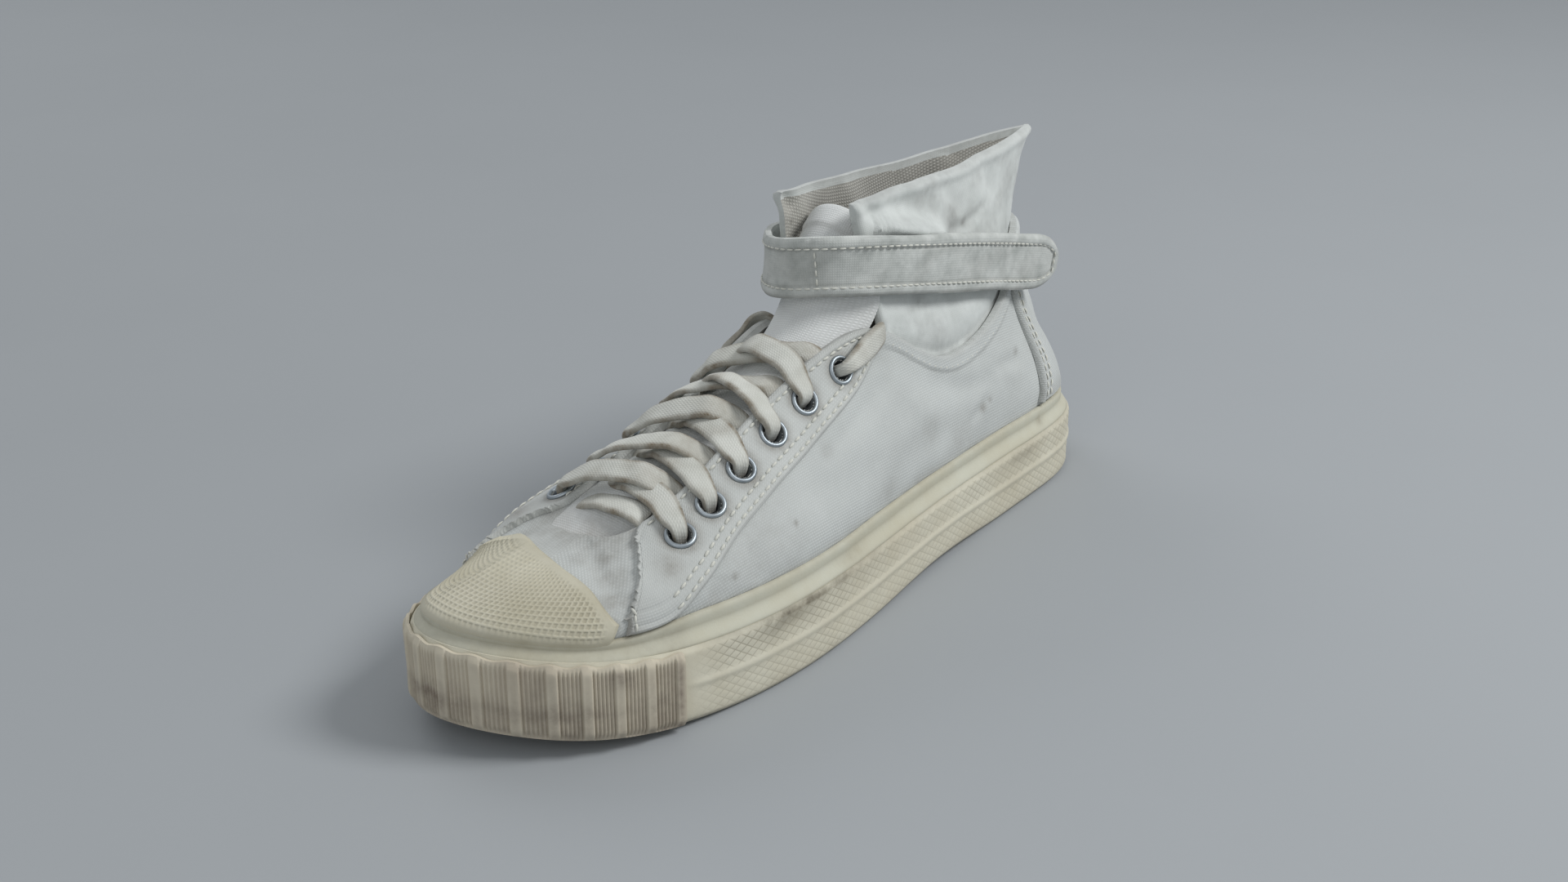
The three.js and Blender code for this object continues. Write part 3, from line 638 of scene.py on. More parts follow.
@dataclass(frozen=True)
class Metal(Finish):
    """Pressed aluminium: bright on its crown, dull and grey with painted shade down into its hole."""

    scratch_mm: float = 0.8
    relief_mm: float = 0.05

    def material(self) -> bpy.types.Material:
        """Builds the metal's material."""
        material, tree, shader = self.start()
        # Painted shade: the metal darkens to its dark colour where the ring turns into the hole
        colour = self.shaded(tree, self.worn_and_shaded_colour(tree), self.soiled_and_shaded)
        tree.links.new(colour, shader.inputs["Base Color"])
        scratches = {"Scale": 1.0 / (self.scratch_mm * MM), "Detail": 4.0}
        self.grain(tree, shader, scratches, (0.1, 0.2), (0.25, self.relief_mm))
        shader.inputs["Metallic"].default_value = 1.0
        return material


# Washed cotton duck: grey-white, faintly cool, with a fine diagonal weave
CANVAS = Cloth(
    "washed_cotton_canvas", "#cdd1cf", "#c3c7c5", "#87837c", 0.93, thread_mm=0.8, groove_share=0.28,
)
# The same duck doubled and sewn at the edges, a little duller
STAY_CANVAS = Cloth("doubled_cotton_canvas", "#cacdca", "#bbbebb", "#87827a", 0.93)
# Smooth cotton webbing of the strap: greyer and smudged
STRAP_CLOTH = Cloth(
    "smooth_cotton_webbing", "#c8cbc7", "#a6aaa6", "#86837d", 0.94, patch_mm=8.0, thread_mm=0.75,
    twill=False, relief_mm=0.07, groove_share=0.1,
)
# Soft brushed cotton: smoother than the canvas and smudged grey
CUFF_CLOTH = Cloth(
    "brushed_cotton", "#d2d6d3", "#bfc3c0", "#83827f", 0.95, patch_mm=11.0, thread_mm=0.7, twill=False,
    relief_mm=0.05, groove_share=0.05, sheen=0.25,
)
# Open mesh lining: darker between its threads
LINING = Cloth(
    "mesh_lining", "#c4c3bc", "#b4b2aa", "#807d75", 0.95, thread_mm=1.2, twill=False, relief_mm=0.2,
    groove="#82807a", groove_share=0.5,
)
# Fine mesh canvas of the tongue, the palest cloth of the shoe
TONGUE_CLOTH = Cloth(
    "fine_mesh_canvas", "#e2e5e4", "#d6d8d7", "#a09c95", 0.94, twill=False, groove="#b2b3b0",
    groove_share=0.32,
)
# Flat tubular lace of woven cotton, tan along its edges
LACE_COTTON = Cloth(
    "woven_lace_cotton", "#d6d7d0", "#c5c6be", "#6f5e45", 0.95, patch_mm=14.0, thread_mm=0.8,
    relief_mm=0.14, groove="#9b9a92", groove_share=0.24,
)
# Sewing cotton, off-white
THREAD = Cloth(
    "sewing_cotton", "#dcddd5", "#d0d1c9", "#9a927e", 0.9, thread_mm=0.6, relief_mm=0.05,
    groove="#b3afa2",
)
# Natural rubber of the toe cap: cream gone grey, darker in its dimples and at its edges
CREAM_RUBBER = Rubber("cream_natural_rubber", "#cbc7b5", "#bfbaa5", "#8d8570", 0.6, groove="#948d79")
# Rubber of the stripe: paler and greyer
STRIPE_RUBBER = Rubber("pale_natural_rubber", "#c4c3b3", "#bdb9a5", "#8f8876", 0.66, groove="#a39c88")
# The side tape: the same rubber, more used
TAPE_RUBBER = HatchedRubber(
    "taped_natural_rubber", "#d4d0be", "#c9c3af", "#777163", 0.66, groove="#8c8573",
)
# The toe bumper: browned by the ground
BUMPER_RUBBER = Rubber("scuffed_natural_rubber", "#cac2af", "#b8ae9c", "#80756a", 0.72, groove="#786c5d")
# The tread: grey with floor dirt
TREAD_RUBBER = Rubber("trodden_rubber", "#a89f8a", "#8f8775", "#5d564b", 0.78, groove="#4c463d")
# Pressed aluminium, gone dull and blue-grey
EYELET_METAL = Metal("pressed_aluminium", "#b0b8bd", "#929aa0", "#45484b", 0.44, patch_mm=6.0)
MATERIALS: dict[str, bpy.types.Material] = {}


def material_of(finish: Cloth | Rubber | Metal) -> bpy.types.Material:
    """The material of a finish, made once."""
    if finish.name not in MATERIALS:
        MATERIALS[finish.name] = finish.material()
    return MATERIALS[finish.name]


# Meshes


@dataclass
class Form:
    """Points, faces and surface values of one piece, in millimetres."""

    points: Grid
    faces: list[list[int]]
    flat: Grid
    marks: Marks
    inside: Grid | None = None

    @staticmethod
    def joined(forms: Sequence["Form"]) -> "Form":
        """One form of several."""
        faces: list[list[int]] = []
        start = 0
        for form in forms:
            faces.extend([[i + start for i in face] for face in form.faces])
            start += len(form.points)
        names = {name for form in forms for name in form.marks}
        marks = {
            name: np.concatenate([form.marks.get(name, np.zeros(len(form.points))) for form in forms])
            for name in names
        }
        flat = np.concatenate([form.flat for form in forms])
        return Form(np.concatenate([form.points for form in forms]), faces, flat, marks)


def wall(
    outer: Grid,
    inner: Grid,
    flat: Grid,
    marks: Marks | None = None,
    keep: Grid | None = None,
    wraps: bool = False,
) -> Form:
    """A closed wall between two grids of points.

    Args:
        outer: Grid of points on the outside, columns by rows.
        inner: Grid of points on the inside, of the same size.
        flat: Two coordinates in millimetres for each point, that the weave follows.
        marks: Surface values for each point.
        keep: Which cells of the grid are there, or all.
        wraps: True if the last column meets the first.

    Returns:
        The form, with its inner faces named.
    """
    columns, rows = outer.shape[:2]
    count = columns * rows
    index = np.arange(count).reshape(columns, rows)
    if wraps:
        index = np.vstack([index, index[:1]])
    corners = np.stack([index[:-1, :-1], index[1:, :-1], index[1:, 1:], index[:-1, 1:]], -1)
    there = np.ones(corners.shape[:2], bool) if keep is None else keep
    shown = corners[there]
    quads = [shown, shown[:, ::-1] + count]
    for axis, step, edge in ((1, -1, (0, 1)), (0, 1, (1, 2)), (1, 1, (2, 3)), (0, -1, (3, 0))):
        beside = np.roll(there, -step, axis)
        if axis == 1 or not wraps:
            border = -1 if step == 1 else 0
            beside[(slice(None), border) if axis == 1 else border] = False
        a, b = corners[there & ~beside][:, list(edge)].T
        quads.append(np.stack([b, a, a + count, b + count], -1))
    faces = np.concatenate(quads)
    inside = np.zeros(len(faces), bool)
    inside[len(shown) : 2 * len(shown)] = True
    across = np.cross(outer[1:, :-1] - outer[:-1, :-1], outer[:-1, 1:] - outer[:-1, :-1])
    if np.sum(across * (outer - inner)[:-1, :-1]) < 0.0:
        faces = faces[:, ::-1]
    used, faces = np.unique(faces, return_inverse=True)
    points = np.concatenate([outer.reshape(-1, 3), inner.reshape(-1, 3)])[used]
    places = np.concatenate([flat.reshape(-1, 2)] * 2)[used]
    both = {name: np.concatenate([value.reshape(-1)] * 2) for name, value in (marks or {}).items()}
    values = {name: value[used] for name, value in both.items()}
    return Form(points, faces.reshape(-1, 4).tolist(), places, values, inside)


def tube(rings: Grid, flat: Grid, marks: Marks, wraps: bool = False) -> Form:
    """A closed band through rings of points.

    Args:
        rings: Grid of points, a row for each ring.
        flat: Two coordinates in millimetres for each point.
        marks: Surface values for each point.
        wraps: True if the last ring meets the first, or else the ends are filled.

    Returns:
        The form.
    """
    count, around = rings.shape[:2]
    index = np.arange(count * around).reshape(count, around)
    rows = np.vstack([index, index[:1]]) if wraps else index
    turned = np.roll(rows, -1, 1)
    quads = np.stack([rows[:-1], turned[:-1], turned[1:], rows[1:]], -1).reshape(-1, 4)
    faces = quads.tolist()
    if not wraps:
        faces += [index[0][::-1].tolist(), index[-1].tolist()]
    values = {name: value.reshape(-1) for name, value in marks.items()}
    return Form(rings.reshape(-1, 3), faces, flat.reshape(-1, 2), values)


def sheet(outer: Grid, inner: Grid, flat: Grid, marks: Marks, wraps: bool = False) -> Form:
    """A closed wall whose hidden back has fewer rows than its face.

    Args:
        outer: Grid of points of the face, columns by rows.
        inner: Grid of points of the back, of the same size.
        flat: Two coordinates in millimetres for each point of the face.
        marks: Surface values for each point of the face.
        wraps: True if the last column meets the first.

    Returns:
        The form.
    """
    rows = outer.shape[1]
    back = np.unique(np.append(np.arange(0, rows, 8), rows - 1))[::-1]
    rings = np.concatenate([outer, inner[:, back]], 1)
    places = np.concatenate([flat, flat[:, back]], 1)
    values = {name: np.concatenate([value, value[:, back]], 1) for name, value in marks.items()}
    form = tube(rings, places, values, wraps)
    across = np.cross(outer[:-1, 1:] - outer[:-1, :-1], outer[1:, :-1] - outer[:-1, :-1])
    if np.sum(across * (outer - inner)[:-1, :-1]) < 0.0:
        form.faces = [face[::-1] for face in form.faces]
    return form


def lengths(points: Grid) -> Grid:
    """Distance run along a path, from 0 at its first point, on the first axis."""
    steps = np.linalg.norm(np.diff(points, axis=0), axis=-1)
    return np.concatenate([np.zeros((1, *steps.shape[1:])), np.cumsum(steps, 0)])


def widths(points: Grid) -> Grid:
    """Distance run across a grid of points, from 0 at its first row, on the second axis."""
    return lengths(points.swapaxes(0, 1)).swapaxes(0, 1)


def paired(along: Grid, across: Grid) -> Grid:
    """Flat coordinates of a grid from its two parts."""
    return np.stack(np.broadcast_arrays(along, across), -1)


def unrolled(points: Grid) -> Grid:
    """Flat coordinates of a grid of points, along its middle row and across it."""
    return paired(lengths(points)[:, points.shape[1] // 2][:, None], widths(points))


@dataclass(frozen=True)
class Stitch:
    """A row of lockstitches: length, gap and half thickness of each, and its dirt."""

    length: float = 2.5
    gap: float = 0.75
    radius: float = 0.4
    dirt: float = 0.08

    def along(self, path: Grid, up: Grid) -> Form:
        """Stitches laid along a path.

        Args:
            path: Points of the seam.
            up: Unit directions out of the cloth at those points.

        Returns:
            The stitches as one form.
        """
        run = lengths(path)
        pitch = self.length + self.gap
        centres = np.arange(pitch / 2.0, run[-1] - pitch / 4.0, pitch)

        def sampled(values: Grid, at: Grid) -> Grid:
            """Values of the path at distances along it."""
            return np.stack([np.interp(at, run, values[:, k]) for k in range(3)], -1)

        middle, lift = sampled(path, centres), unit(sampled(up, centres))
        ahead = unit(sampled(path, centres + 0.6) - sampled(path, centres - 0.6))
        side = unit(np.cross(lift, ahead))
        reach = np.array([-1.0, -0.72, 0.0, 0.72, 1.0])
        girth = np.array([0.3, 0.85, 1.0, 0.85, 0.3])
        sink = np.array([-0.9, -0.2, 0.15, -0.2, -0.9]) * self.radius
        turns = np.arange(6) * math.pi / 3.0
        ring = [girth[:, None] * wave(turns)[None] for wave in (np.cos, np.sin)]
        offset = (
            ahead[:, None, None] * (reach * self.length / 2.0)[None, :, None, None]
            + side[:, None, None] * (ring[0] * self.radius)[None, ..., None]
            + lift[:, None, None] * (ring[1] * self.radius * 0.85 + sink[:, None])[None, ..., None]
        )
        size = offset.shape[1:3]
        flat, marks = np.zeros((*size, 2)), {"dirt": np.full(size, self.dirt)}
        return Form.joined([tube(rings, flat, marks) for rings in middle[:, None, None] + offset])


def placed(name: str, data: bpy.types.ID) -> bpy.types.Object:
    """A new object in the scene."""
    made = bpy.data.objects.new(name, data)
    bpy.context.scene.collection.objects.link(made)
    return made


def aimed(name: str, data: bpy.types.ID, place: Vector, target: Vector) -> bpy.types.Object:
    """A new light or camera at a place, that looks at a target."""
    holder = placed(name, data)
    holder.location = place
    holder.rotation_euler = (target - place).to_track_quat("-Z", "Y").to_euler()
    return holder


class Frame:
    """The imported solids' frame, and pieces that ride in it."""

    def __init__(self, shift: Grid) -> None:
        """Keeps the way from the last's own axes to the frame, in millimetres."""
        self.shift = shift

    def metres(self, points: Grid) -> Grid:
        """Points in metres in the frame."""
        return (np.asarray(points, float) + self.shift) * MM

    def add(
        self,
        name: str,
        form: Form,
        finishes: Sequence[Cloth | Rubber | Metal],
        slot: str,
        nodes: Sequence[str] = (),
    ) -> bpy.types.Object:
        """Writes a form as a piece that rides on the shoe.

        Args:
            name: Name of the piece.
            form: Its shape and surface values.
            finishes: Its finish, and a second one for its inner faces if it has one.
            slot: Material slot of the record; it is not used.
            nodes: Solids that the piece stands for.

        Returns:
            The piece.
        """
        mesh = bpy.data.meshes.new(name)
        mesh.from_pydata(self.metres(form.points).tolist(), [], form.faces)
        mesh.shade_smooth()
        mesh.set_sharp_from_angle(angle=math.radians(SHARP_DEG))
        flat = mesh.attributes.new("flat", "FLOAT_VECTOR", "POINT")
        places = np.column_stack([form.flat, np.zeros(len(form.flat))])
        flat.data.foreach_set("vector", places.astype(np.float32).ravel())
        for mark in ("dirt", "shade"):
            values = form.marks.get(mark, np.zeros(len(form.points)))
            layer = mesh.attributes.new(mark, "FLOAT", "POINT")
            layer.data.foreach_set("value", np.clip(values, 0.0, 1.0).astype(np.float32))
        for finish in finishes:
            mesh.materials.append(material_of(finish))
        if len(finishes) > 1 and form.inside is not None:
            mesh.polygons.foreach_set("material_index", form.inside.astype(np.int32))
        mesh.update()
        piece = placed(name, mesh)
        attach(piece, BODY)
        if nodes:
            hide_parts(*nodes)
        log.info("%s: %d faces", name, len(form.faces))
        return piece


# Sole


# Smears of dirt, and on the tape one line of painted shade under the stripe: station, spread along, share
# of the height, spread up and strength
TAPE_SMEARS_AND_SHADE = (
    (6.42, 0.34, 0.86, 0.12, 0.6), (5.7, 0.9, 1.0, 0.2, 0.3), (2.35, 0.3, 0.86, 0.1, 0.45),
    (13.6, 0.7, 1.0, 0.16, 0.35), (5.95, 0.55, 0.95, 0.03, 0.8),
)
STRIPE_SMEARS = ((1.9, 0.07, 0.5, 0.2, 0.6), (5.35, 0.2, 0.4, 0.2, 0.4))
BUMPER_SMEARS = ((8.25, 0.12, 0.85, 0.16, 0.6),)


def smeared(smears: Sequence[Sequence[float]], s: Grid, t: Grid) -> Grid:
    """Darkening of soft smears on a band of the sole, at stations and shares of its height."""
    return sum(dark * hump(s - at, wide) * hump(t - up, tall) for at, wide, up, tall, dark in smears)


@dataclass
class Sole:
    """Side tape, stripe, toe bumper, insole and the tread under them."""

    last: Last
    tape_wall: float = 3.0
    tape_clearance: float = 0.6
    rib_height: float = 0.8
    hatch_mm: Pair = HATCH_MM
    hatch_depth: float = 0.15
    netted_bands: Table = ((0.05, 0.47), (0.55, 0.97))
    stripe_wall: float = 1.5
    bumper_from: float = 7.57
    bumper_to: float = 12.47
    bumper_blocks: int = 15
    bumper_flutes: int = 6
    fluted_share: float = 0.74
    insole_top: float = 13.8
    insole_thickness: float = 4.5
    lug: float = 9.0
    lug_gap: float = 4.0
    lug_slope: float = 0.5
    lug_spans: Table = ((-132.0, -74.0), (12.0, 132.0))
    waist: Pair = (-66.0, 8.0)
    tread_groove: float = 1.8
    tread_top: float = 9.0

    def near_bumper(self, s: Grid, fade: float = 0.25) -> Grid:
        """1 behind the toe bumper, fading to 0 past its ends."""
        after = smooth(self.bumper_from - fade, self.bumper_from, s)
        return after * (1.0 - smooth(self.bumper_to, self.bumper_to + fade, s))

    def run(self, s: Grid) -> Grid:
        """Distance run along the sole's outline, as a column."""
        return lengths(self.last.sole(s[:, 0], 0.0, 0.0))[:, None]

    def frame_shift(self) -> Grid:
        """Way from the last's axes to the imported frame, from the side tape's lowest corner in both."""
        spans = (4, 3, 3, 3, 2, 2, 2, 3, 4, 4)
        s = np.concatenate(
            [station + np.arange(n) / n for station, n in enumerate((*spans, *spans[::-1]))]
        )
        ridge = self.last.sole(s, self.rib_height * (1.0 - self.near_bumper(s)), 0.0)
        low = np.array(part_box("foxing")[0]) / MM
        return np.array([low[0] - ridge[:, 0].min(), low[1] - ridge[:, 1].min(), 0.0])

    def tape(self) -> Form:
        """The side tape: two hatched bands, a smooth ridge between them and worn edges."""
        s, t = self.last.round_grid(1480, 46)
        x = self.last.sole_x(s)
        bottom = self.last.floor_line(x) + self.tape_clearance
        height = self.last.tape_top(x) - bottom
        run = self.run(s)
        rise = t * height
        ahead, up = self.hatch_mm
        grooves = np.zeros(np.broadcast(run, rise).shape)
        for lean in (1.0, -1.0):
            phase = run / ahead + lean * rise / up
            grooves = np.maximum(grooves, hump(off_line(phase) * ahead, 0.5))
        bands = sum(between(low, high, 0.04, t) for low, high in self.netted_bands)
        clear = 1.0 - self.near_bumper(s, 0.55)
        rough = self.last.sole(s, 0.0, rise)
        patchy = 0.72 + 0.4 * lumps(rough, 22.0, 3.0)
        netted = bands * clear * np.clip(patchy, 0.35, 1.0)
        hatch = grooves * netted
        ridge = 0.5 * self.rib_height * hump(t - 0.51, 0.05) * (1.0 - self.near_bumper(s))
        edges = 0.9 * (hump(t, 0.035) + hump(1.0 - t, 0.04))
        worn = 0.18 * lumps(rough, 9.0, 8.0)
        face = ridge - edges - self.hatch_depth * hatch + worn * (1.0 - hump(t, 0.1))
        outer = self.last.sole(s, face, bottom + rise)
        inner = self.last.sole(s, -self.tape_wall, bottom + rise)
        top = hump(1.0 - t, 0.05) * (1.0 - self.near_bumper(s, 0.4))
        # The last tape smear is a thin line of painted shade along the top edge, where the stripe meets
        # the tape
        darkening = smeared(TAPE_SMEARS_AND_SHADE, s, t) + 0.25 * top + 0.35 * hump(t, 0.12)
        deep = 0.52 + 0.48 * hump(s - 6.3, 0.9) * hump(0.8 - t, 0.22)
        marks = {"shade": netted * deep, "dirt": darkening + 0.15 * np.clip(patchy - 0.6, 0, 1)}
        return sheet(outer, inner, paired(run, rise), marks, wraps=True)

    def stripe(self) -> Form:
        """The thin strip above the tape, rolled at its top edge."""
        s, t = self.last.round_grid(700, 14)
        x = self.last.sole_x(s)
        low, high = self.last.tape_top(x) - 0.6, self.last.feather_line(x) + 0.5
        z = low + (high - low) * t
        rough = self.last.sole(s, 0.0, z)
        lip = 0.8 * smooth(0.86, 1.0, t) ** 2
        foot = 2.3 * (1.0 - smooth(0.05, 0.55, t)) - 0.5 * hump(t, 0.05)
        press = 0.12 * hump(t - 0.6, 0.07)
        face = -self.tape_wall - FIT - lip - press + foot + 0.22 * lumps(rough, 13.0, 5.0)
        wave = 0.5 * lumps(rough, 30.0, 1.0) * smooth(0.5, 1.0, t)
        outer = self.last.sole(s, face, z + wave)
        inner = self.last.sole(s, -self.tape_wall - FIT - self.stripe_wall, z + wave)
        run = self.run(s)
        darkening = 0.3 * hump(t, 0.1) + 0.12 * hump(t - 0.6, 0.05) + 0.35 * hump(1.0 - t, 0.1)
        darkening = darkening + 0.3 * self.near_bumper(s) + smeared(STRIPE_SMEARS, s, t)
        marks = {"dirt": darkening, "shade": 0.1 * hump(t - 0.6, 0.05) + 0.25 * hump(t, 0.06) + 0 * s}
        return sheet(outer, inner, paired(run, z), marks, wraps=True)

    def bumper(self) -> Form:
        """The toe bumper: smooth bands between blocks of thin flutes, with a wavy lip."""
        s = np.linspace(self.bumper_from, self.bumper_to, 900)[:, None]
        t = np.linspace(0.0, 1.0, 30)[None]
        band_share = 1.0 - self.fluted_share
        pitch = (self.bumper_to - self.bumper_from) / (self.bumper_blocks + band_share)
        place = np.mod((s - self.bumper_from) / pitch, 1.0)
        within = (place - band_share) / self.fluted_share
        fluted = between(0.0, 1.0, 0.07, within)
        phase = within * self.bumper_flutes
        groove = hump(np.abs(phase - np.floor(phase) - 0.5), 0.26) * fluted
        x = self.last.sole_x(s)
        bottom = self.last.floor_line(x) + self.tape_clearance + FIT
        top = self.last.tape_top(x) - 0.4 + 0.45 * np.cos(2.0 * math.pi * (place - 0.19))
        z = bottom + (top - bottom) * t
        rough = self.last.sole(s, 0.0, z)
        worn = 0.25 * lumps(rough, 10.0, 2.0)
        stop = smooth(0.0, 0.05, t) * (1.0 - smooth(0.91, 0.97, t))
        stand = 1.75 - 0.45 * fluted * stop - 0.5 * groove * stop + worn * stop
        round_off = 1.3 * hump(t, 0.06) + 1.1 * hump(1.0 - t, 0.05)
        outer = self.last.sole(s, FIT + np.maximum(stand - round_off, 0.15), z)
        inner = self.last.sole(s, FIT - 0.25, z)
        run = self.run(s)
        low = 1.0 - smooth(0.15, 0.75, t)
        sides = np.minimum(np.abs(place), np.minimum(np.abs(place - band_share), np.abs(1.0 - place)))
        # Painted highlights: paler along the sides of the bands and along the top edge
        edge_highlight = 0.25 * hump(sides, 0.06) + 0.55 * hump(1.0 - t, 0.08)
        stain = 0.5 * hump(t - 0.36, 0.1) * np.clip(0.4 + lumps(rough, 18.0, 6.0), 0.0, 1.0)
        darkening = 0.2 + 0.3 * low + 0.35 * lumps(rough, 16.0, 4.0) + stain - edge_highlight
        darkening = darkening + smeared(BUMPER_SMEARS, s, t) + 0.5 * hump(s - 7.63, 0.03)
        marks = {"dirt": darkening, "shade": groove * stop * (0.15 + 0.12 * low)}
        return sheet(outer, inner, paired(run, z), marks)

    def insole(self) -> Form:
        """The footbed, dished under heel and ball."""
        s, t = self.last.round_grid(320, 20)
        rim = self.last.sole(s, -self.last.inset - 2.6, 0.0)
        spine_x = np.clip(rim[..., 0], -112.0, 108.0)
        spine = np.stack([spine_x, 0.04 * spine_x, np.zeros_like(spine_x)], -1)
        plan = rim * (1.0 - t[..., None]) + spine * t[..., None]
        dish = 0.9 * smooth(0.1, 0.5, t) + 0.5 * lumps(plan, 30.0, 6.0) * smooth(0.0, 0.3, t)
        top = self.insole_top + self.last.toe_lift(plan[..., 0])
        outer, inner = plan.copy(), plan.copy()
        outer[..., 2] = top - dish * 0.6 + 0.3
        inner[..., 2] = top - self.insole_thickness
        marks = {"dirt": 0.45 + 0.5 * hump(plan[..., 0] - 40.0, 40.0) + 0 * t}
        return wall(outer, inner, plan[..., :2], marks, wraps=True)

    def tread(self) -> Form:
        """The outsole: lugs and grooves from the solid's own outline, with cut cross lines."""
        lug, groove, slope = self.lug, self.tread_groove, self.lug_slope
        toe = 1000
        around = np.linspace(0.0, self.last.stations, 2 * toe + 1)
        edge = self.last.sole(around, -self.tape_wall - 2.0 * FIT, 0.0)
        places = {edge[0, 0] + FIT: groove, edge[toe, 0] - FIT: groove}
        for first, last in self.lug_spans:
            for x in np.arange(first, last - lug + 0.01, lug + self.lug_gap):
                places.update({x: groove, x + slope: 0.0, x + lug - slope: 0.0, x + lug: groove})
                for cut in (x + lug / 3.0, x + 2.0 * lug / 3.0):
                    places.update({cut - 0.35: 0.0, cut - 0.2: 0.5, cut + 0.2: 0.5, cut + 0.35: 0.0})
        for x in np.linspace(*self.waist, 26):
            places.setdefault(x, groove)
        xs = np.array(sorted(places))
        depth = np.array([places[x] for x in xs])
        lateral, medial = (
            np.interp(xs, np.maximum.accumulate(line[:, 0]), line[:, 1])
            for line in (edge[: toe + 1], edge[toe:][::-1])
        )
        t = np.linspace(0.0, 1.0, 24)[None]
        y = lateral[:, None] + (medial - lateral)[:, None] * t
        x = np.broadcast_to(xs[:, None], y.shape)
        under, over = (
            np.stack([x, y, np.broadcast_to(z[:, None], y.shape)], -1)
            for z in (self.last.floor_line(xs) + depth, self.tread_top + self.last.toe_lift(xs))
        )
        low = np.broadcast_to((depth / groove)[:, None], y.shape)
        return wall(under, over, np.stack([x, y], -1), {"shade": 0.5 * low, "dirt": 0.5 - 0.3 * low})

    def build(self, packed: Frame) -> None:
        """Writes the pieces of the sole."""
        packed.add("tread", self.tread(), [TREAD_RUBBER], "sole_rubber", ["outsole"])
        packed.add("side_tape", self.tape(), [TAPE_RUBBER], "sole_rubber", ["foxing"])
        packed.add("side_stripe", self.stripe(), [STRIPE_RUBBER], "cream_rubber", ["foxing_stripe"])
        packed.add("bumper", self.bumper(), [BUMPER_RUBBER], "sole_rubber", ["toe_bumper"])
        packed.add("footbed", self.insole(), [LINING], "lining", ["insole"])


# Upper


@dataclass(frozen=True)
class EyeletPlace:
    """Where an eyelet sits: its side, number, station, point and direction out of the cloth."""

    side: Side
    number: int
    s: float
    point: Grid
    up: Grid

    def beside(self, lean: Grid, up: float, ahead: float) -> Grid:
        """A point over or under the eyelet's middle, moved along the lace's lean."""
        return self.point + self.up * up + lean * ahead


@dataclass
class Panel:
    """A piece of cloth or rubber laid on the upper between two lines of places."""

    lower: Table
    upper: Table
    columns: int
    rows: int
    fray: float = 0.0

    def places(self, a: Grid, b: Grid) -> tuple[Grid, Grid]:
        """Station and rib share at shares along and across the panel."""
        a, b = np.broadcast_arrays(np.asarray(a, float), np.asarray(b, float))
        tooth = np.abs(np.mod(a * 88.0, 1.0) - 0.5) * (1.0 + np.sin(a * 171.0) * np.sin(a * 53.0))
        torn = self.fray * tooth * smooth(0.8, 0.86, a) * smooth(0.8, 1.0, b)
        low, high = even_curve(self.lower, a), even_curve(self.upper, a)
        mixed = low + (high - low) * b[..., None]
        ahead = np.sign(self.upper[-1][0] - self.upper[0][0])
        return mixed[..., 0] + ahead * torn, mixed[..., 1]

    def mirrored(self, stations: int) -> "Panel":
        """The same panel on the other side of the shoe."""
        turned = [tuple((stations - s, v) for s, v in line) for line in (self.lower, self.upper)]
        return Panel(turned[0], turned[1], self.columns, self.rows, self.fray)


LATERAL_STAY = Panel(
    (
        (4.02, 0.9), (4.6, 0.72), (5.4, 0.63), (6.1, 0.57), (6.7, 0.47), (7.2, 0.25), (7.6, 0.05),
        (8.1, 0.05),
    ),
    ((4.02, 1), (4.7, 1), (5.4, 1), (6.1, 1), (6.7, 1), (7.25, 1), (7.7, 0.9), (8.08, 0.25)),
    250,
    60,
    0.09,
)
TOE_CAP = Panel(
    ((8.26, 0.0), (8.8, 0.0), (9.4, 0.0), (10, 0.0), (10.6, 0.0), (11.2, 0.0), (11.74, 0.0)),
    ((8.2, 0.2), (8.65, 0.55), (9.3, 0.73), (10, 0.83), (10.7, 0.84), (11.35, 0.74), (11.8, 0.28)),
    360,
    160,
)
BACK_STAY = Panel(
    ((-1.85, 0.05), (0, 0.05), (1.85, 0.05)), ((-1.45, 0.985), (0, 0.985), (1.45, 0.985)), 120, 110
)
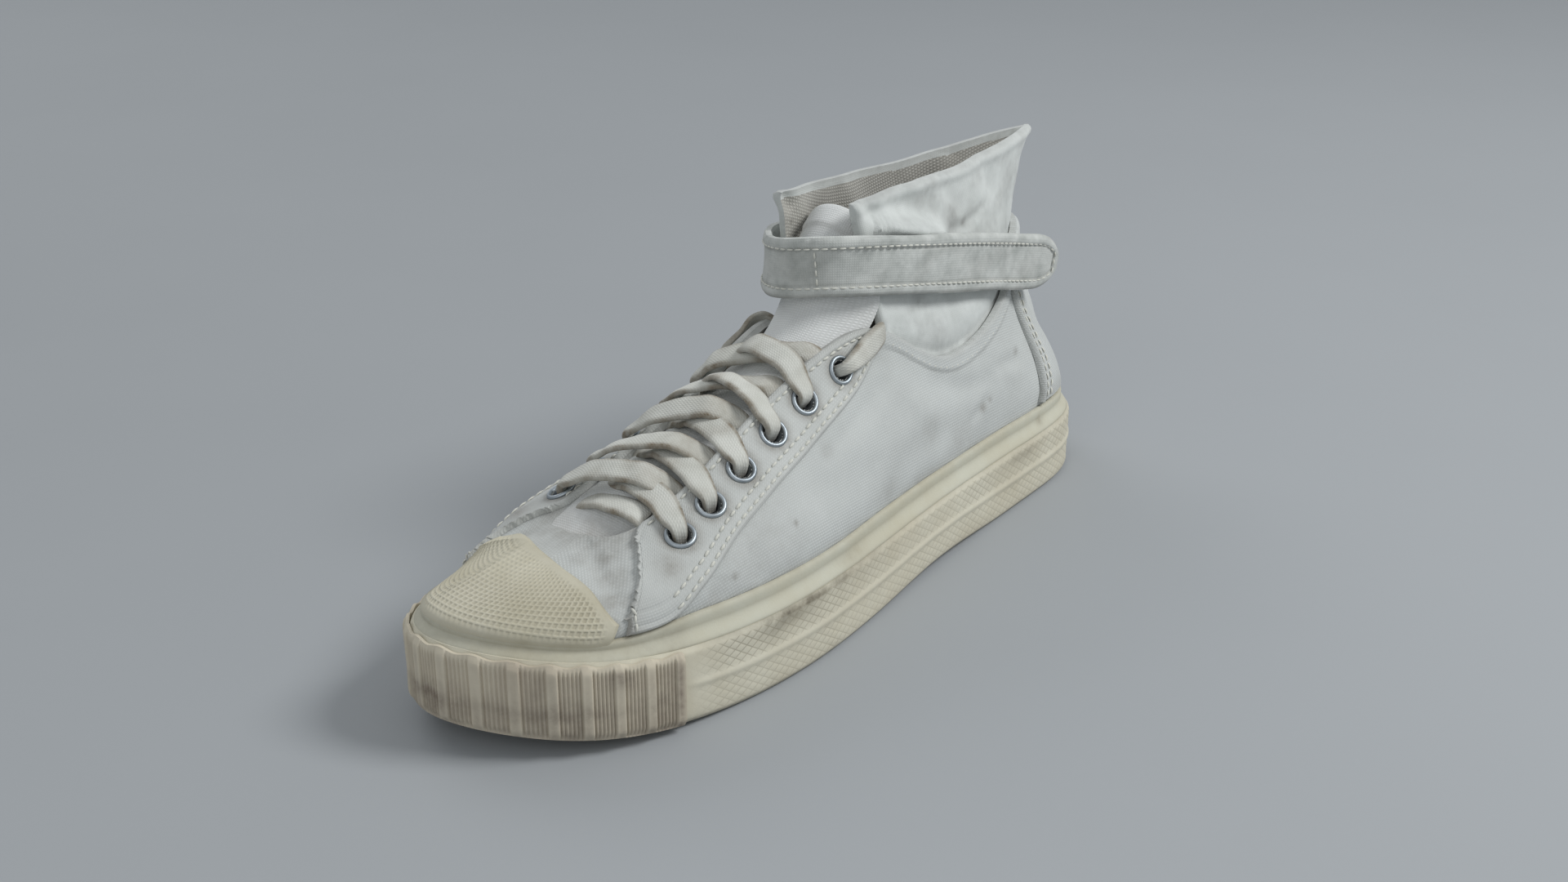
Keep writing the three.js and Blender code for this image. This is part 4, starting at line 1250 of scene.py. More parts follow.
UPPER_CREASES = (
    # Outer side: along the eyestay, the flex at the ball, the quarter and the heel
    Crease(((5.4, 0.53), (4.82, 0.57), (4.1, 0.7)), 4.2, 1.0),
    Crease(((6.62, 0.06), (6.5, 0.38)), 5.0, 0.9),
    Crease(((7.08, 0.04), (6.98, 0.28)), 4.0, 0.7),
    Crease(((5.95, 0.5), (5.3, 0.36), (4.6, 0.28)), 8.0, 1.0),
    Crease(((4.5, 0.16), (3.6, 0.26), (3.0, 0.24)), 7.0, 0.8),
    Crease(((2.95, 0.28), (2.62, 0.44)), 2.6, 0.8),
    Crease(((2.35, 0.64), (1.92, 0.5)), 3.2, 0.8),
    Crease(((3.35, 0.8), (2.75, 0.62), (2.4, 0.6)), 5.0, 0.9),
    Crease(((3.9, 0.55), (3.4, 0.4)), 6.0, -0.8),
    # Toe, slack on its inner side, and vamp
    Crease(((10.3, 0.55), (10.9, 0.5), (11.6, 0.5)), 20.0, 3.4),
    Crease(((8.95, 0.92), (8.5, 0.66)), 4.0, 1.0),
    Crease(((8.45, 0.9), (8.3, 0.6), (8.25, 0.35)), 4.5, 1.4),
    Crease(((9.5, 0.9), (8.9, 0.97)), 3.5, 0.8),
    Crease(((8.5, 0.9), (8.2, 0.5)), 3.0, -0.7),
    Crease(((11.1, 0.92), (11.5, 0.66)), 4.0, 1.0),
    # Inner side
    Crease(((13.35, 0.06), (13.5, 0.42)), 5.0, 1.1),
    Crease(((12.9, 0.05), (13.05, 0.32)), 4.0, 0.9),
    Crease(((14.0, 0.1), (14.1, 0.36)), 4.5, 0.8),
    Crease(((14.5, 0.5), (15.3, 0.36), (16.1, 0.28)), 7.0, 1.1),
    Crease(((17.0, 0.24), (17.4, 0.6)), 5.0, 0.9),
    Crease(((18.3, 0.66), (17.9, 0.46)), 4.0, 0.9),
    # Heel
    Crease(((-1.1, 0.5), (0.0, 0.44), (1.2, 0.5)), 6.0, 0.9),
    Crease(((-0.8, 0.75), (0.9, 0.72)), 5.0, 0.7),
)
# Rows of stitches on an eyestay: edge, distance from it, and shares of it where they start and stop
STAY_SEAMS = (
    ("lower", 2.2, (0.03, 0.86)),
    ("lower", 5.4, (0.05, 0.84)),
    ("upper", 2.4, (0.02, 0.8)),
    ("end", 2.4, (0.1, 0.9)),
)
# Distances of the heel strip's rows of stitches from its sides
BACK_SEAMS = (3.2, 6.2)
# Small dark marks of dirt, and in the last four a painted shadow on the vamp along the outer eyestay's
# front edge: station, rib share, width and strength
SPOTS_AND_SHADOWS = (
    (6.83, 0.21, 1.5, 0.9), (6.0, 0.32, 1.3, 0.8), (2.74, 0.35, 1.8, 0.9), (2.62, 0.39, 1.2, 0.6),
    (1.97, 0.6, 1.6, 0.7), (5.25, 0.55, 3.0, 0.3), (3.7, 0.3, 6.0, 0.3), (7.05, 0.1, 5.0, 0.35),
    (3.2, 0.1, 8.0, 0.3), (4.6, 0.08, 9.0, 0.25), (13.2, 0.2, 1.6, 0.8), (14.6, 0.3, 1.4, 0.7),
    (16.3, 0.15, 9.0, 0.4), (17.6, 0.4, 1.8, 0.8), (18.4, 0.5, 5.0, 0.3), (9.1, 0.85, 5.0, 0.5),
    (11.2, 0.85, 5.0, 0.5), (8.6, 0.75, 4.0, 0.4), (6.47, 0.63, 1.2, 0.7), (6.5, 0.3, 26.0, 0.26),
    (8.45, 0.86, 5.0, 0.75), (8.35, 0.66, 5.0, 0.75), (8.3, 0.46, 4.5, 0.7), (8.28, 0.2, 2.4, 1.0),
)


@dataclass
class Upper:
    """Vamp and quarters with what is sewn on them: eyestays, toe cap and back stay."""

    last: Last
    thickness: float = 2.0
    overlay: float = 1.72
    hole: float = 3.2
    eyelet_places: Table = (
        (7.2, 11.5, 8.0), (6.72, 9.8, 8.0), (6.25, 9.0, 8.0),
        (5.76, 8.6, 8.0), (5.26, 8.4, 8.0), (4.72, 8.4, 8.0),
    )
    dimple_mm: float = 1.75
    dimple_depth: float = 0.36
    foot_height: float = 9.6
    hole_reach: float = 6.0

    def relief(self, s: Grid, v: Grid) -> Grid:
        """Heights of the cloth over the last: listed creases and soft lumps."""
        points = self.last.rib(s, v)
        soft = 0.45 * lumps(points, 26.0) + 0.16 * lumps(points, 9.0, 2.0)
        firm = smooth(0.0, 0.1, v)
        return (creased(points, self.last.rib, UPPER_CREASES) + soft) * firm

    def at(self, s: Grid, v: Grid, lift: Grid) -> Grid:
        """Points at a height over the worn cloth."""
        s, v, lift = np.broadcast_arrays(np.asarray(s, float), np.asarray(v, float), lift)
        height = lift + self.relief(s, v)
        return self.last.rib(s, v) + normals(self.last.rib, s, v) * height[..., None]

    def from_edge(self, s: float, distance: float) -> float:
        """Rib share at a distance from the top edge."""
        v = np.linspace(0.0, 1.0, 4001)
        far = apart(self.last.rib(s, v), self.last.rib(s, 1.0))
        return float(v[np.argmin(np.abs(far - distance))])

    def eyelets(self) -> list[EyeletPlace]:
        """Places of all eyelets, from the toe end up on each side."""
        found = []
        for side in Side:
            for number, (station, outer, inner) in enumerate(self.eyelet_places, 1):
                s = station if side is Side.LATERAL else self.last.stations - station
                v = self.from_edge(s, outer if side is Side.LATERAL else inner)
                up = normals(self.last.rib, np.array(s), np.array(v))
                point = self.last.rib(s, v) + up * float(self.relief(np.array(s), np.array(v)))
                found.append(EyeletPlace(side, number, s, point, up))
        return found

    def open_cells(self, points: Grid, wraps: bool) -> Grid:
        """Which cells of a grid are clear of the eyelet holes."""
        ends = np.vstack([points, points[:1]]) if wraps else points
        middle = (ends[:-1, :-1] + ends[1:, 1:]) / 2.0
        keep = np.ones(middle.shape[:2], bool)
        for eyelet in self.eyelets():
            way = middle - eyelet.point
            high = way @ eyelet.up
            aside = apart(way, high[..., None] * eyelet.up)
            keep &= ~((aside < self.hole) & (np.abs(high) < self.hole_reach))
        return keep

    def body(self) -> Form:
        """The hollow canvas wall, with a sewn hem along the collar."""
        s, v = self.last.round_grid(480, 58)
        points = self.last.rib(s, v)
        rest = apart(points, points[:, -1:])
        collar = np.maximum(1.0 - smooth(3.9, 4.2, s), smooth(15.8, 16.1, s))
        hem = collar * 0.6 * (1.0 - smooth(5.0, 5.7, rest)) * smooth(0.0, 0.8, rest)
        outer = self.at(s, v, hem)
        inner = self.at(s, v, -self.thickness + 0 * s)
        low = self.foot_height + self.last.toe_lift(self.last.sole_x(s[:, 0]))
        inset = self.last.inset
        foot = [self.last.sole(s[:, 0], -depth, low) for depth in (inset, inset + self.thickness)]
        outer = np.concatenate([foot[0][:, None], outer], 1)
        inner = np.concatenate([foot[1][:, None], inner], 1)
        flat = np.stack([outer[..., 0], 0.75 * (outer[..., 2] - np.abs(outer[..., 1]))], -1)
        blotch = 0.13 * np.clip(lumps(points, 20.0, 11.0) + 0.4 * lumps(points, 7.0, 12.0), 0.0, 1.0)
        low_grime = blotch + 0.4 * hump(v, 0.06) * (0.6 + 0.8 * lumps(points, 14.0, 7.0))
        edge_grime = 0.25 * collar * (hump(rest, 2.0) + hump(rest - 5.8, 0.7))
        # Painted shade: the cloth darkens within about 9 mm of the throat's edge
        throat = 0.6 * (1.0 - collar) * hump(rest, 9.0)
        # The listed marks include a painted shadow on the vamp beside the outer eyestay
        spots = spotted(points, self.last.rib, SPOTS_AND_SHADOWS)
        dirt = np.maximum.reduce([spots, low_grime, edge_grime + throat])
        dirt = np.concatenate([dirt[:, :1], dirt], 1)
        keep = self.open_cells(outer, wraps=True)
        return wall(outer, inner, flat, {"dirt": dirt}, keep, wraps=True)

    def laid(self, panel: Panel, lift: Grid, marks: Marks, keep_holes: bool = False) -> Form:
        """A panel laid on the worn cloth.

        Args:
            panel: Its lines and grid.
            lift: Height of its face over the cloth, a grid.
            marks: Surface values, grids.
            keep_holes: True if the eyelets go through it.

        Returns:
            The panel's form.
        """
        s, v = panel.places(*self.grid(panel))
        outer, inner = self.at(s, v, lift), self.at(s, v, 0.06 + 0 * lift)
        flat = unrolled(outer)
        if keep_holes:
            return wall(outer, inner, flat, marks, self.open_cells(outer, wraps=False))
        return sheet(outer, inner, flat, marks)

    def grid(self, panel: Panel) -> tuple[Grid, Grid]:
        """Shares along and across a panel, as a column and a row."""
        return np.linspace(0.0, 1.0, panel.columns)[:, None], np.linspace(0.0, 1.0, panel.rows)[None]

    def margins(self, panel: Panel) -> Marks:
        """Distances in millimetres from a panel's four edges, as grids.

        Args:
            panel: The panel.

        Returns:
            Distances from the lower and upper line and from the start and end.
        """
        points = self.last.rib(*panel.places(*self.grid(panel)))
        up, along = widths(points), lengths(points)
        return {"lower": up, "upper": up[:, -1:] - up, "start": along, "end": along[-1:] - along}

    def eyestay(self, side: Side) -> Form:
        """A doubled band with turned edges, frayed at its front."""
        panel = LATERAL_STAY if side is Side.LATERAL else LATERAL_STAY.mirrored(self.last.stations)
        edge = self.margins(panel)
        near = np.minimum.reduce(list(edge.values()))
        bead = 0.35 * hump(near - 1.3, 0.9)
        rows = 0.4 * sum(hump(edge[line] - distance, 0.5) for line, distance, _ in STAY_SEAMS[:3])
        points = self.last.rib(*panel.places(*self.grid(panel)))
        fray = 0.5 * lumps(points, 4.0, 9.0) * hump(edge["end"], 3.0)
        lift = self.overlay - 0.75 * hump(near, 0.55) + bead - rows * 0.6 + fray
        dirt = 0.42 * hump(edge["end"], 5.0) + 0.22 * hump(near, 1.6)
        # Painted shade: a dark ring round the flange of each eyelet
        for eyelet in self.eyelets():
            dirt = np.maximum(dirt, 0.75 * hump(apart(points, eyelet.point) - 4.6, 1.9))
        # Painted shadow: a soft dark spot near the stay's front end
        front = (7.5 if side is Side.LATERAL else 12.5, 0.55, 4.0, 0.65)
        dirt = np.maximum(dirt, spotted(points, self.last.rib, [front]))
        return self.laid(panel, lift, {"dirt": dirt, "shade": 0.08 * rows}, keep_holes=True)

    def toe_cap(self) -> Form:
        """The rubber cap: rows of square dimples, deep in front and worn smooth on top."""
        edge = self.margins(TOE_CAP)
        points = self.last.rib(*TOE_CAP.places(*self.grid(TOE_CAP)))
        around = edge["start"][:, TOE_CAP.rows // 4][:, None]
        up = edge["lower"]
        row, column = (smooth(0.08, 0.27, 0.5 - off_line(way / self.dimple_mm)) for way in (up, around))
        front = smooth(1.0, 2.5, up) * (1.0 - 0.5 * smooth(26.0, 52.0, up))
        near = np.minimum.reduce([edge["upper"], edge["start"], edge["end"]])
        worn = np.clip(0.85 + 0.35 * lumps(points, 20.0, 4.0), 0.3, 1.0)
        deep = row * column * front * smooth(2.5, 5.0, near) * worn
        lift = self.overlay - 0.9 * hump(near, 0.7) - self.dimple_depth * deep
        lift = lift + 0.12 * lumps(points, 7.0, 1.0)
        low = hump(up - 12.0, 10.0)
        marks = {
            "shade": deep * (0.12 + 0.42 * low),
            "dirt": 0.3 * hump(edge["upper"], 1.6) + 0.2 * hump(up, 2.0) + 0.16 * low,
        }
        return self.laid(TOE_CAP, lift, marks)

    def back_stay(self) -> Form:
        """The strip up the heel, with a raised welt along both sides."""
        edge = self.margins(BACK_STAY)
        sides = np.minimum(edge["start"], edge["end"])
        welt = 0.5 * hump(sides - 1.4, 1.0) - 0.9 * hump(sides, 0.5)
        lift = self.overlay + welt - 0.5 * hump(edge["upper"], 0.6)
        rows = sum(hump(sides - distance, 0.5) for distance in BACK_SEAMS)
        dirt = 0.3 * hump(sides, 1.2) + 0.25 * hump(edge["lower"], 5.0)
        dirt = dirt + 0.2 * hump(sides - BACK_SEAMS[0], 1.0)
        return self.laid(BACK_STAY, lift - 0.22 * rows, {"dirt": dirt, "shade": 0.2 * rows})

    def seam(self, panel: Panel, distance: float, edge: str, ends: Pair = (0.02, 0.98)) -> Form:
        """A row of stitches at a distance from an edge of a panel.

        Args:
            panel: The panel that is sewn.
            distance: Millimetres from the edge.
            edge: Lower, upper, start or end.
            ends: Shares of the edge where the row starts and stops.

        Returns:
            The stitches.
        """
        run = np.linspace(*ends, 240)
        across = np.linspace(0.0, 1.0, 200)
        if edge in ("lower", "upper"):
            s, v = panel.places(run[:, None], across[None])
        else:
            s, v = panel.places(across[None], run[:, None])
        far = widths(self.last.rib(s, v))
        if edge in ("upper", "end"):
            far = far[:, -1:] - far
        pick = np.argmin(np.abs(far - distance), axis=1)
        rows = np.arange(len(run))
        s, v = s[rows, pick], v[rows, pick]
        return Stitch().along(self.at(s, v, self.overlay + 0.2), normals(self.last.rib, s, v))

    def collar_seam(self, distance: float) -> Form:
        """Stitches below the scooped edge of the collar, on both sides of the heel."""
        rows = []
        for start, stop in ((1.9, 3.95), (16.05, 18.1)):
            s = np.linspace(start, stop, 120)
            v = np.array([self.from_edge(place, distance) for place in s])
            rows.append(Stitch().along(self.at(s, v, 0.32), normals(self.last.rib, s, v)))
        return Form.joined(rows)

    def stitching(self) -> Form:
        """All stitches of the upper."""
        rows = [self.collar_seam(4.1)]
        for panel in (LATERAL_STAY, LATERAL_STAY.mirrored(self.last.stations)):
            rows += [self.seam(panel, distance, edge, ends) for edge, distance, ends in STAY_SEAMS]
        for edge in ("start", "end"):
            rows += [self.seam(BACK_STAY, distance, edge) for distance in BACK_SEAMS]
        return Form.joined(rows)

    def build(self, packed: Frame) -> None:
        """Writes the upper's pieces."""
        packed.add("canvas_upper", self.body(), [CANVAS, LINING], "canvas", ["upper"])
        packed.add("rubber_cap", self.toe_cap(), [CREAM_RUBBER], "cream_rubber", ["toe_cap"])
        for side in Side:
            word = side.word
            packed.add(f"stay_{word}", self.eyestay(side), [STAY_CANVAS], "canvas", [f"eyestay_{word}"])
        packed.add("heel_stay", self.back_stay(), [CANVAS], "canvas", ["back_stay"])
        packed.add("upper_stitching", self.stitching(), [THREAD], "canvas")


# Cuff, tongue and strap


@dataclass
class Cuff:
    """The soft shaft that rises out of the collar, open at the front."""

    upper: Upper
    thickness: float = 2.4
    reach: float = 3.85
    lean: float = 0.55
    seat: float = -2.65
    hidden: float = 0.76
    top: Table = (
        (-15.3, -17.4, 122.2), (-40, -18.4, 120.8), (-72, -16.4, 119.4), (-110, -9.9, 120.4),
        (-139.5, -1.5, 121.8), (-110, 6.6, 121.8), (-72, 11.6, 122), (-42, 12.6, 122.8),
        (-21, 9.6, 121.4),
    )
    creases: tuple[Crease, ...] = (
        # Outer side: the roll under the strap, the bulge over it, the dents and the folded corner
        Crease(((3.6, 0.2), (2.9, 0.19), (2.2, 0.18), (1.6, 0.1)), 8.0, -1.9),
        Crease(((3.75, 0.03), (2.9, 0.03), (2.1, 0.03)), 3.0, 0.8),
        Crease(((3.6, 0.765), (3.3, 0.745), (3.0, 0.72), (2.7, 0.675), (2.4, 0.625)), 5.2, -8.0),
        Crease(((3.75, 0.99), (3.5, 0.86), (3.4, 0.7)), 3.2, 1.2),
        Crease(((2.3, 0.62), (1.9, 0.58), (1.5, 0.6)), 2.6, 1.2),
        Crease(((2.2, 0.98), (2.05, 0.8), (1.9, 0.66)), 5.0, 0.9),
        Crease(((1.5, 0.95), (1.25, 0.7), (1.1, 0.5)), 6.0, 1.0),
        Crease(((2.8, 0.97), (2.5, 0.93)), 4.0, -0.9),
        # Heel and inner side
        Crease(((0.3, 0.94), (0.1, 0.4)), 7.0, 0.9),
        Crease(((-1.2, 0.9), (-1.4, 0.4)), 7.0, 1.1),
        Crease(((-2.6, 0.92), (-2.35, 0.5)), 6.0, 1.0),
        Crease(((-3.5, 0.9), (-3.3, 0.5)), 5.0, 1.0),
        Crease(((-3.85, 1.0), (-3.65, 0.82)), 3.2, -1.6),
        Crease(((-3.6, 0.16), (-2.6, 0.13), (-1.6, 0.12)), 7.0, -1.2),
        Crease(((-2.2, 0.62), (-1.5, 0.58)), 4.0, 0.9),
    )
    turned_hem: float = 2.4
    # Smudges and the worn hole: station, share of the height, width and strength
    spots: Table = (
        (2.15, 0.66, 6.0, 0.6), (1.95, 0.6, 1.9, 1.0), (-3.7, 0.74, 1.1, 1.0), (3.0, 0.16, 9.0, 0.3),
        (2.6, 0.86, 4.0, 0.4), (1.5, 0.8, 3.0, 0.35),
    )

    def skin(self, s: Grid, t: Grid) -> Grid:
        """Points of the cuff's form, from the collar at t 0 to the top edge at t 1."""
        s, t = np.broadcast_arrays(np.asarray(s, float), np.asarray(t, float))
        rib, one = self.upper.last.rib, np.ones_like(s)
        seat = rib(s, one) + normals(rib, s, one) * self.seat
        top = OpenCurve(self.top)((s + self.reach) / (2.0 * self.reach))
        height = (top - seat)[..., 2:]
        leave = unit(rib(s, one) - rib(s, one - STEP)) * height * self.lean
        arrive = np.array([0.0, 0.0, 1.0]) * height * self.lean
        u, w = t[..., None], 1.0 - t[..., None]
        blend = seat * w * w * (1.0 + 2.0 * u) + top * u * u * (3.0 - 2.0 * u)
        return blend + leave * w * w * u - arrive * u * u * w

    def cloth(self) -> Form:
        """The cuff with its folds, a rolled top edge, smudges and a worn hole."""
        s = np.linspace(-self.reach, self.reach, 300)[:, None]
        t = np.linspace(0.0, 1.0, 72)[None]
        points = self.skin(s, t)
        out = normals(self.skin, s, np.clip(t, STEP, 1.0 - STEP))
        soft = 0.55 * lumps(points, 22.0, 5.0) + 0.25 * lumps(points, 8.0, 1.0)
        relief = (creased(points, self.skin, self.creases) + soft) * smooth(0.0, 0.08, t)
        rest = apart(points, points[:, -1:])
        front = np.minimum(lengths(points), lengths(points[::-1])[::-1])
        rim = 0.8 * hump(rest - 2.2, 1.9) - 0.9 * hump(rest, 0.7)
        rim = rim + 0.6 * hump(front - 2.0, 1.7) - 0.8 * hump(front, 0.6)
        wave = 0.8 * lumps(points, 24.0, 9.0) * smooth(0.7, 1.0, t)
        outer = points + out * (relief + rim)[..., None]
        inner = points + out * (relief - self.thickness)[..., None]
        outer[..., 2] += wave
        inner[..., 2] += wave
        rib, low = self.upper.last.rib, np.full(len(s), self.hidden)
        hidden = [
            rib(s[:, 0], low) + normals(rib, s[:, 0], low) * depth
            for depth in (self.seat, self.seat - self.thickness)
        ]
        outer = np.concatenate([hidden[0][:, None], outer], 1)
        inner = np.concatenate([hidden[1][:, None], inner], 1)
        smudge = lumps(points, 17.0, 3.0) + 0.5 * lumps(points, 6.0, 4.0) + 0.4 * lumps(points, 2.6, 8.0)
        smudge = np.maximum(0.5 * np.clip(smudge, 0.0, 1.0), spotted(points, self.skin, self.spots))
        dirt = np.maximum(smudge, 0.35 * hump(rest, 1.5))
        dirt = np.concatenate([dirt[:, :1], dirt], 1)
        turned = np.concatenate([rest[:, :1], rest], 1)
        form = wall(outer, inner, unrolled(outer), {"dirt": dirt, "rest": turned})
        form.inside &= form.marks.pop("rest")[np.array(form.faces)].mean(axis=1) > self.turned_hem
        return form

    def build(self, packed: Frame) -> None:
        """Writes the cuff."""
        packed.add("soft_cuff", self.cloth(), [CUFF_CLOTH, LINING], "cuff_cloth", ["cuff"])


@dataclass
class Tongue:
    """The tongue: middle line, half width, fall of its sides and roll to the inner side."""

    thickness: float = 2.2
    table: Table = (
        (101, -4, 42.6, 12, 2, 0), (92, -3.5, 46.8, 15, 3, 0), (80, -1, 54.0, 20, 8, 4),
        (60, 1, 60.2, 24, 10, 6), (40, 2, 66.8, 23, 10, 8), (22, 1, 73.6, 18.8, 8.5, 5),
        (11, 0.6, 77.6, 18.2, 8.5, 5), (1, 1, 83, 16, 9, 6), (-6, 1.2, 90.5, 15, 9, 2),
        (-10, 1, 98, 15, 9, 0), (-14, -0.6, 105, 12.5, 7, 0),
        (-20, -2.2, 111, 10.4, 5, 0), (-29, -3, 116.5, 10, 4, 0),
    )
    hem: float = 9.0
    flap: Triple = (-7.0, 2.5, 0.0)

    def skin(self, a: Grid, b: Grid) -> Grid:
        """Points of the tongue's middle, along it and across it from -1 to 1."""
        a, b = np.broadcast_arrays(np.asarray(a, float), np.asarray(b, float))
        middle = OpenCurve([row[:3] for row in self.table])
        half, fall, roll = np.moveaxis(even_curve([row[3:] for row in self.table], a), -1, 0)
        along = middle.along(a)
        lift = unit(np.stack([along[..., 2], 0 * a, -along[..., 0]], -1))
        height = half * b * np.tan(np.radians(roll)) - fall * b * b
        points = middle(a) + lift * height[..., None]
        points[..., 1] += half * b
        wrapped = smooth(0.35, 1.0, b) * hump(a - 0.68, 0.14)
        return points + wrapped[..., None] * np.array(self.flap)

    def cloth(self) -> Form:
        """The tongue with soft waves, bound edges and a hem at its top."""
        a, b = np.linspace(0.0, 1.0, 170)[:, None], np.linspace(-1.0, 1.0, 41)[None]
        points = self.skin(a, b)
        inner_a, inner_b = np.clip(a, STEP, 1.0 - STEP), np.clip(b, -0.99, 0.99)
        across = self.skin(a, inner_b + STEP) - self.skin(a, inner_b - STEP)
        along = self.skin(inner_a + STEP, b) - self.skin(inner_a - STEP, b)
        out = unit(np.cross(across, along))
        out *= np.where(out[..., 2:] + out[..., :1] < 0.0, -1.0, 1.0)
        top = lengths(points[::-1])[::-1]
        edge = (1.0 - np.abs(b)) * 12.0
        hem = 0.55 * (1.0 - smooth(self.hem - 0.6, self.hem + 0.6, top)) - 0.5 * hump(top, 0.8)
        relief = 0.35 * lumps(points, 15.0, 2.0) + hem - 0.5 * hump(edge, 0.7)
        outer = points + out * (self.thickness / 2.0 + relief)[..., None]
        inner = points - out * (self.thickness / 2.0 - 0.3 * hump(edge, 0.7))[..., None]
        run = lengths(points)[:, 20][:, None]
        dirt = 0.3 * np.clip(lumps(points, 14.0, 6.0), 0.0, 1.0) + 0.25 * hump(top - self.hem, 1.2)
        # Painted shade over the front end of the tongue, to match the shaded vamp
        dirt = dirt + 0.75 * hump(a, 0.13)
        return wall(outer, inner, paired(run, b * 14.0), {"dirt": dirt})

    def build(self, packed: Frame) -> None:
        """Writes the tongue."""
        packed.add("mesh_tongue", self.cloth(), [TONGUE_CLOTH], "lining", ["tongue"])


@dataclass
class Strap:
    """The sewn band round the cuff: a padded border, a sunk middle and a round free end."""

    length: float = 250.0
    width: float = 19.2
    thickness: float = 2.6
    tab: float = 14.0
    border: float = 3.6
    seam_at: float = 0.478
    line: Table = (
        (-76, -26.5, 90.5, 3), (-47, -28, 95, 3), (-22, -24.5, 98.5, 3), (-8, -14.5, 100.6, 2),
        (-2, -2.5, 103.2, 0), (-5.5, 9.5, 105, 0), (-18.5, 19, 104.2, 2), (-45, 23.5, 99, 2),
        (-78, 24, 91, 2), (-104, 23.4, 84, 1), (-121, 24, 79.8, 0),
    )

    def axes(self, a: Grid) -> tuple[Grid, Grid, Grid]:
        """Middle line, direction across and direction out of the band, at shares of its length."""
        curve = OpenCurve([row[:3] for row in self.line])
        along = curve.along(a)
        lean = np.radians(even_curve([row[3:] for row in self.line], a)[..., 0])
        inside = unit(np.stack([-along[..., 1], along[..., 0], 0 * lean], -1))
        side = inside * np.sin(lean)[..., None] + np.array([0.0, 0.0, 1.0]) * np.cos(lean)[..., None]
        side = unit(side - along * np.sum(side * along, -1, keepdims=True))
        return curve(a), side, unit(np.cross(along, side))

    def half(self, a: Grid, run: Grid) -> Grid:
        """Half the band's width, rounded at its free end."""
        left = np.clip((run[-1] - run) / self.tab, 0.0, 1.0)
        return self.width / 2.0 * np.maximum(0.04, np.sqrt(1.0 - (1.0 - left) ** 2)) + 0 * a

    def shares(self) -> Grid:
        """Shares of the length, close together at the free end."""
        turn = 0.965
        bend = np.sin(np.linspace(0.03, 1.0, 44) * math.pi / 2.0)
        return np.concatenate([np.linspace(0.0, turn, 216), turn + (1.0 - turn) * bend])

    def face(self, a: Grid, b: Grid) -> tuple[Grid, Grid, Grid]:
        """Middle points, distances from the border and outward directions of the band.

        Args:
            a: Shares of the length, one axis.
            b: Shares across it from -1 to 1, one axis.

        Returns:
            Grids of points, distances and directions.
        """
        middle, side, out = self.axes(a)
        run = lengths(middle)
        half = self.half(a, run)
        points = middle[:, None] + side[:, None] * (half[:, None] * b[None])[..., None]
        border = np.minimum((1.0 - np.abs(b))[None] * half[:, None], (run[-1] - run)[:, None])
        sign = 1.0 if np.sum(out * (middle - np.array([-60.0, -2.0, 95.0]))) > 0.0 else -1.0
        return points, border, np.broadcast_to(sign * out[:, None], points.shape)

    def band(self) -> Form:
        """The band itself, soft and a little wavy."""
        a, b = self.shares(), np.linspace(-1.0, 1.0, 41)
        points, border, out = self.face(a, b)
        padded = 0.5 * (1.0 - smooth(self.border - 0.7, self.border + 0.5, border))
        padded = padded - 0.7 * hump(border, 0.7)
        groove = -0.35 * hump(border - self.border, 0.5)
        cross = -0.5 * hump((a - self.seam_at)[:, None] * self.length, 0.8)
        soft = 0.5 * lumps(points, 17.0, 7.0) + 0.2 * lumps(points, 6.0, 2.0)
        lift = self.thickness / 2.0 - 0.25 + padded + groove + cross + soft * smooth(0.0, 2.0, border)
        wave = 0.7 * lumps(points, 26.0, 11.0)
        outer = points + out * lift[..., None]
        inner = points - out * (self.thickness / 2.0 - 0.4 * hump(border, 0.7))[..., None]
        outer[..., 2] += wave
        inner[..., 2] += wave
        low = hump(b + 1.0, 0.12)[None]
        smear = np.clip(0.9 * lumps(points, 11.0, 5.0) + 0.1, 0.0, 1.0) * smooth(3.0, 5.0, border)
        dirt = 0.6 * low + 0.2 * hump(border - self.border, 0.6) + 0.35 * smear
        dirt = np.maximum(dirt, 0.55 * hump(border, 1.1) * smooth(0.9, 1.0, a)[:, None])
        flat = paired(lengths(points[:, 20])[:, None], b[None] * 9.3)
        return wall(outer, inner, flat, {"dirt": dirt, "shade": 0.2 * hump(border - self.border, 0.5)})

    def stitching(self) -> Form:
        """Rows along both borders, round the free end and across the middle."""
        a = np.linspace(0.01, 0.999, 600)
        b = np.linspace(-1.0, 1.0, 201)
        points, border, out = self.face(a, b)
        inset = self.border - 0.4
        keep = np.nonzero(border[:, 100] > inset)[0]
        rows = []
        for half in (slice(0, 101), slice(100, 201)):
            pick = np.argmin(np.abs(border[keep][:, half] - inset), axis=1) + (half.start or 0)
            lift = out[keep, pick] * (self.thickness / 2.0 + 0.28)
            rows.append((points[keep, pick] + lift, out[keep, pick]))
        path = np.concatenate([rows[0][0], rows[1][0][::-1]])
        up = np.concatenate([rows[0][1], rows[1][1][::-1]])
        across = int(np.argmin(np.abs(a - self.seam_at - 0.006)))
        inner = np.nonzero(border[across] > self.border)[0]
        cross = points[across, inner] + out[across, inner] * (self.thickness / 2.0 - 0.1)
        stitch = Stitch(2.2, 0.7, 0.31)
        return Form.joined([stitch.along(path, up), stitch.along(cross, out[across, inner])])

    def build(self, packed: Frame) -> None:
        """Writes the strap and its stitches."""
        packed.add("wrap_strap", self.band(), [STRAP_CLOTH], "canvas", ["strap"])
        packed.add("strap_stitching", self.stitching(), [THREAD], "canvas")


# Eyelets and lace


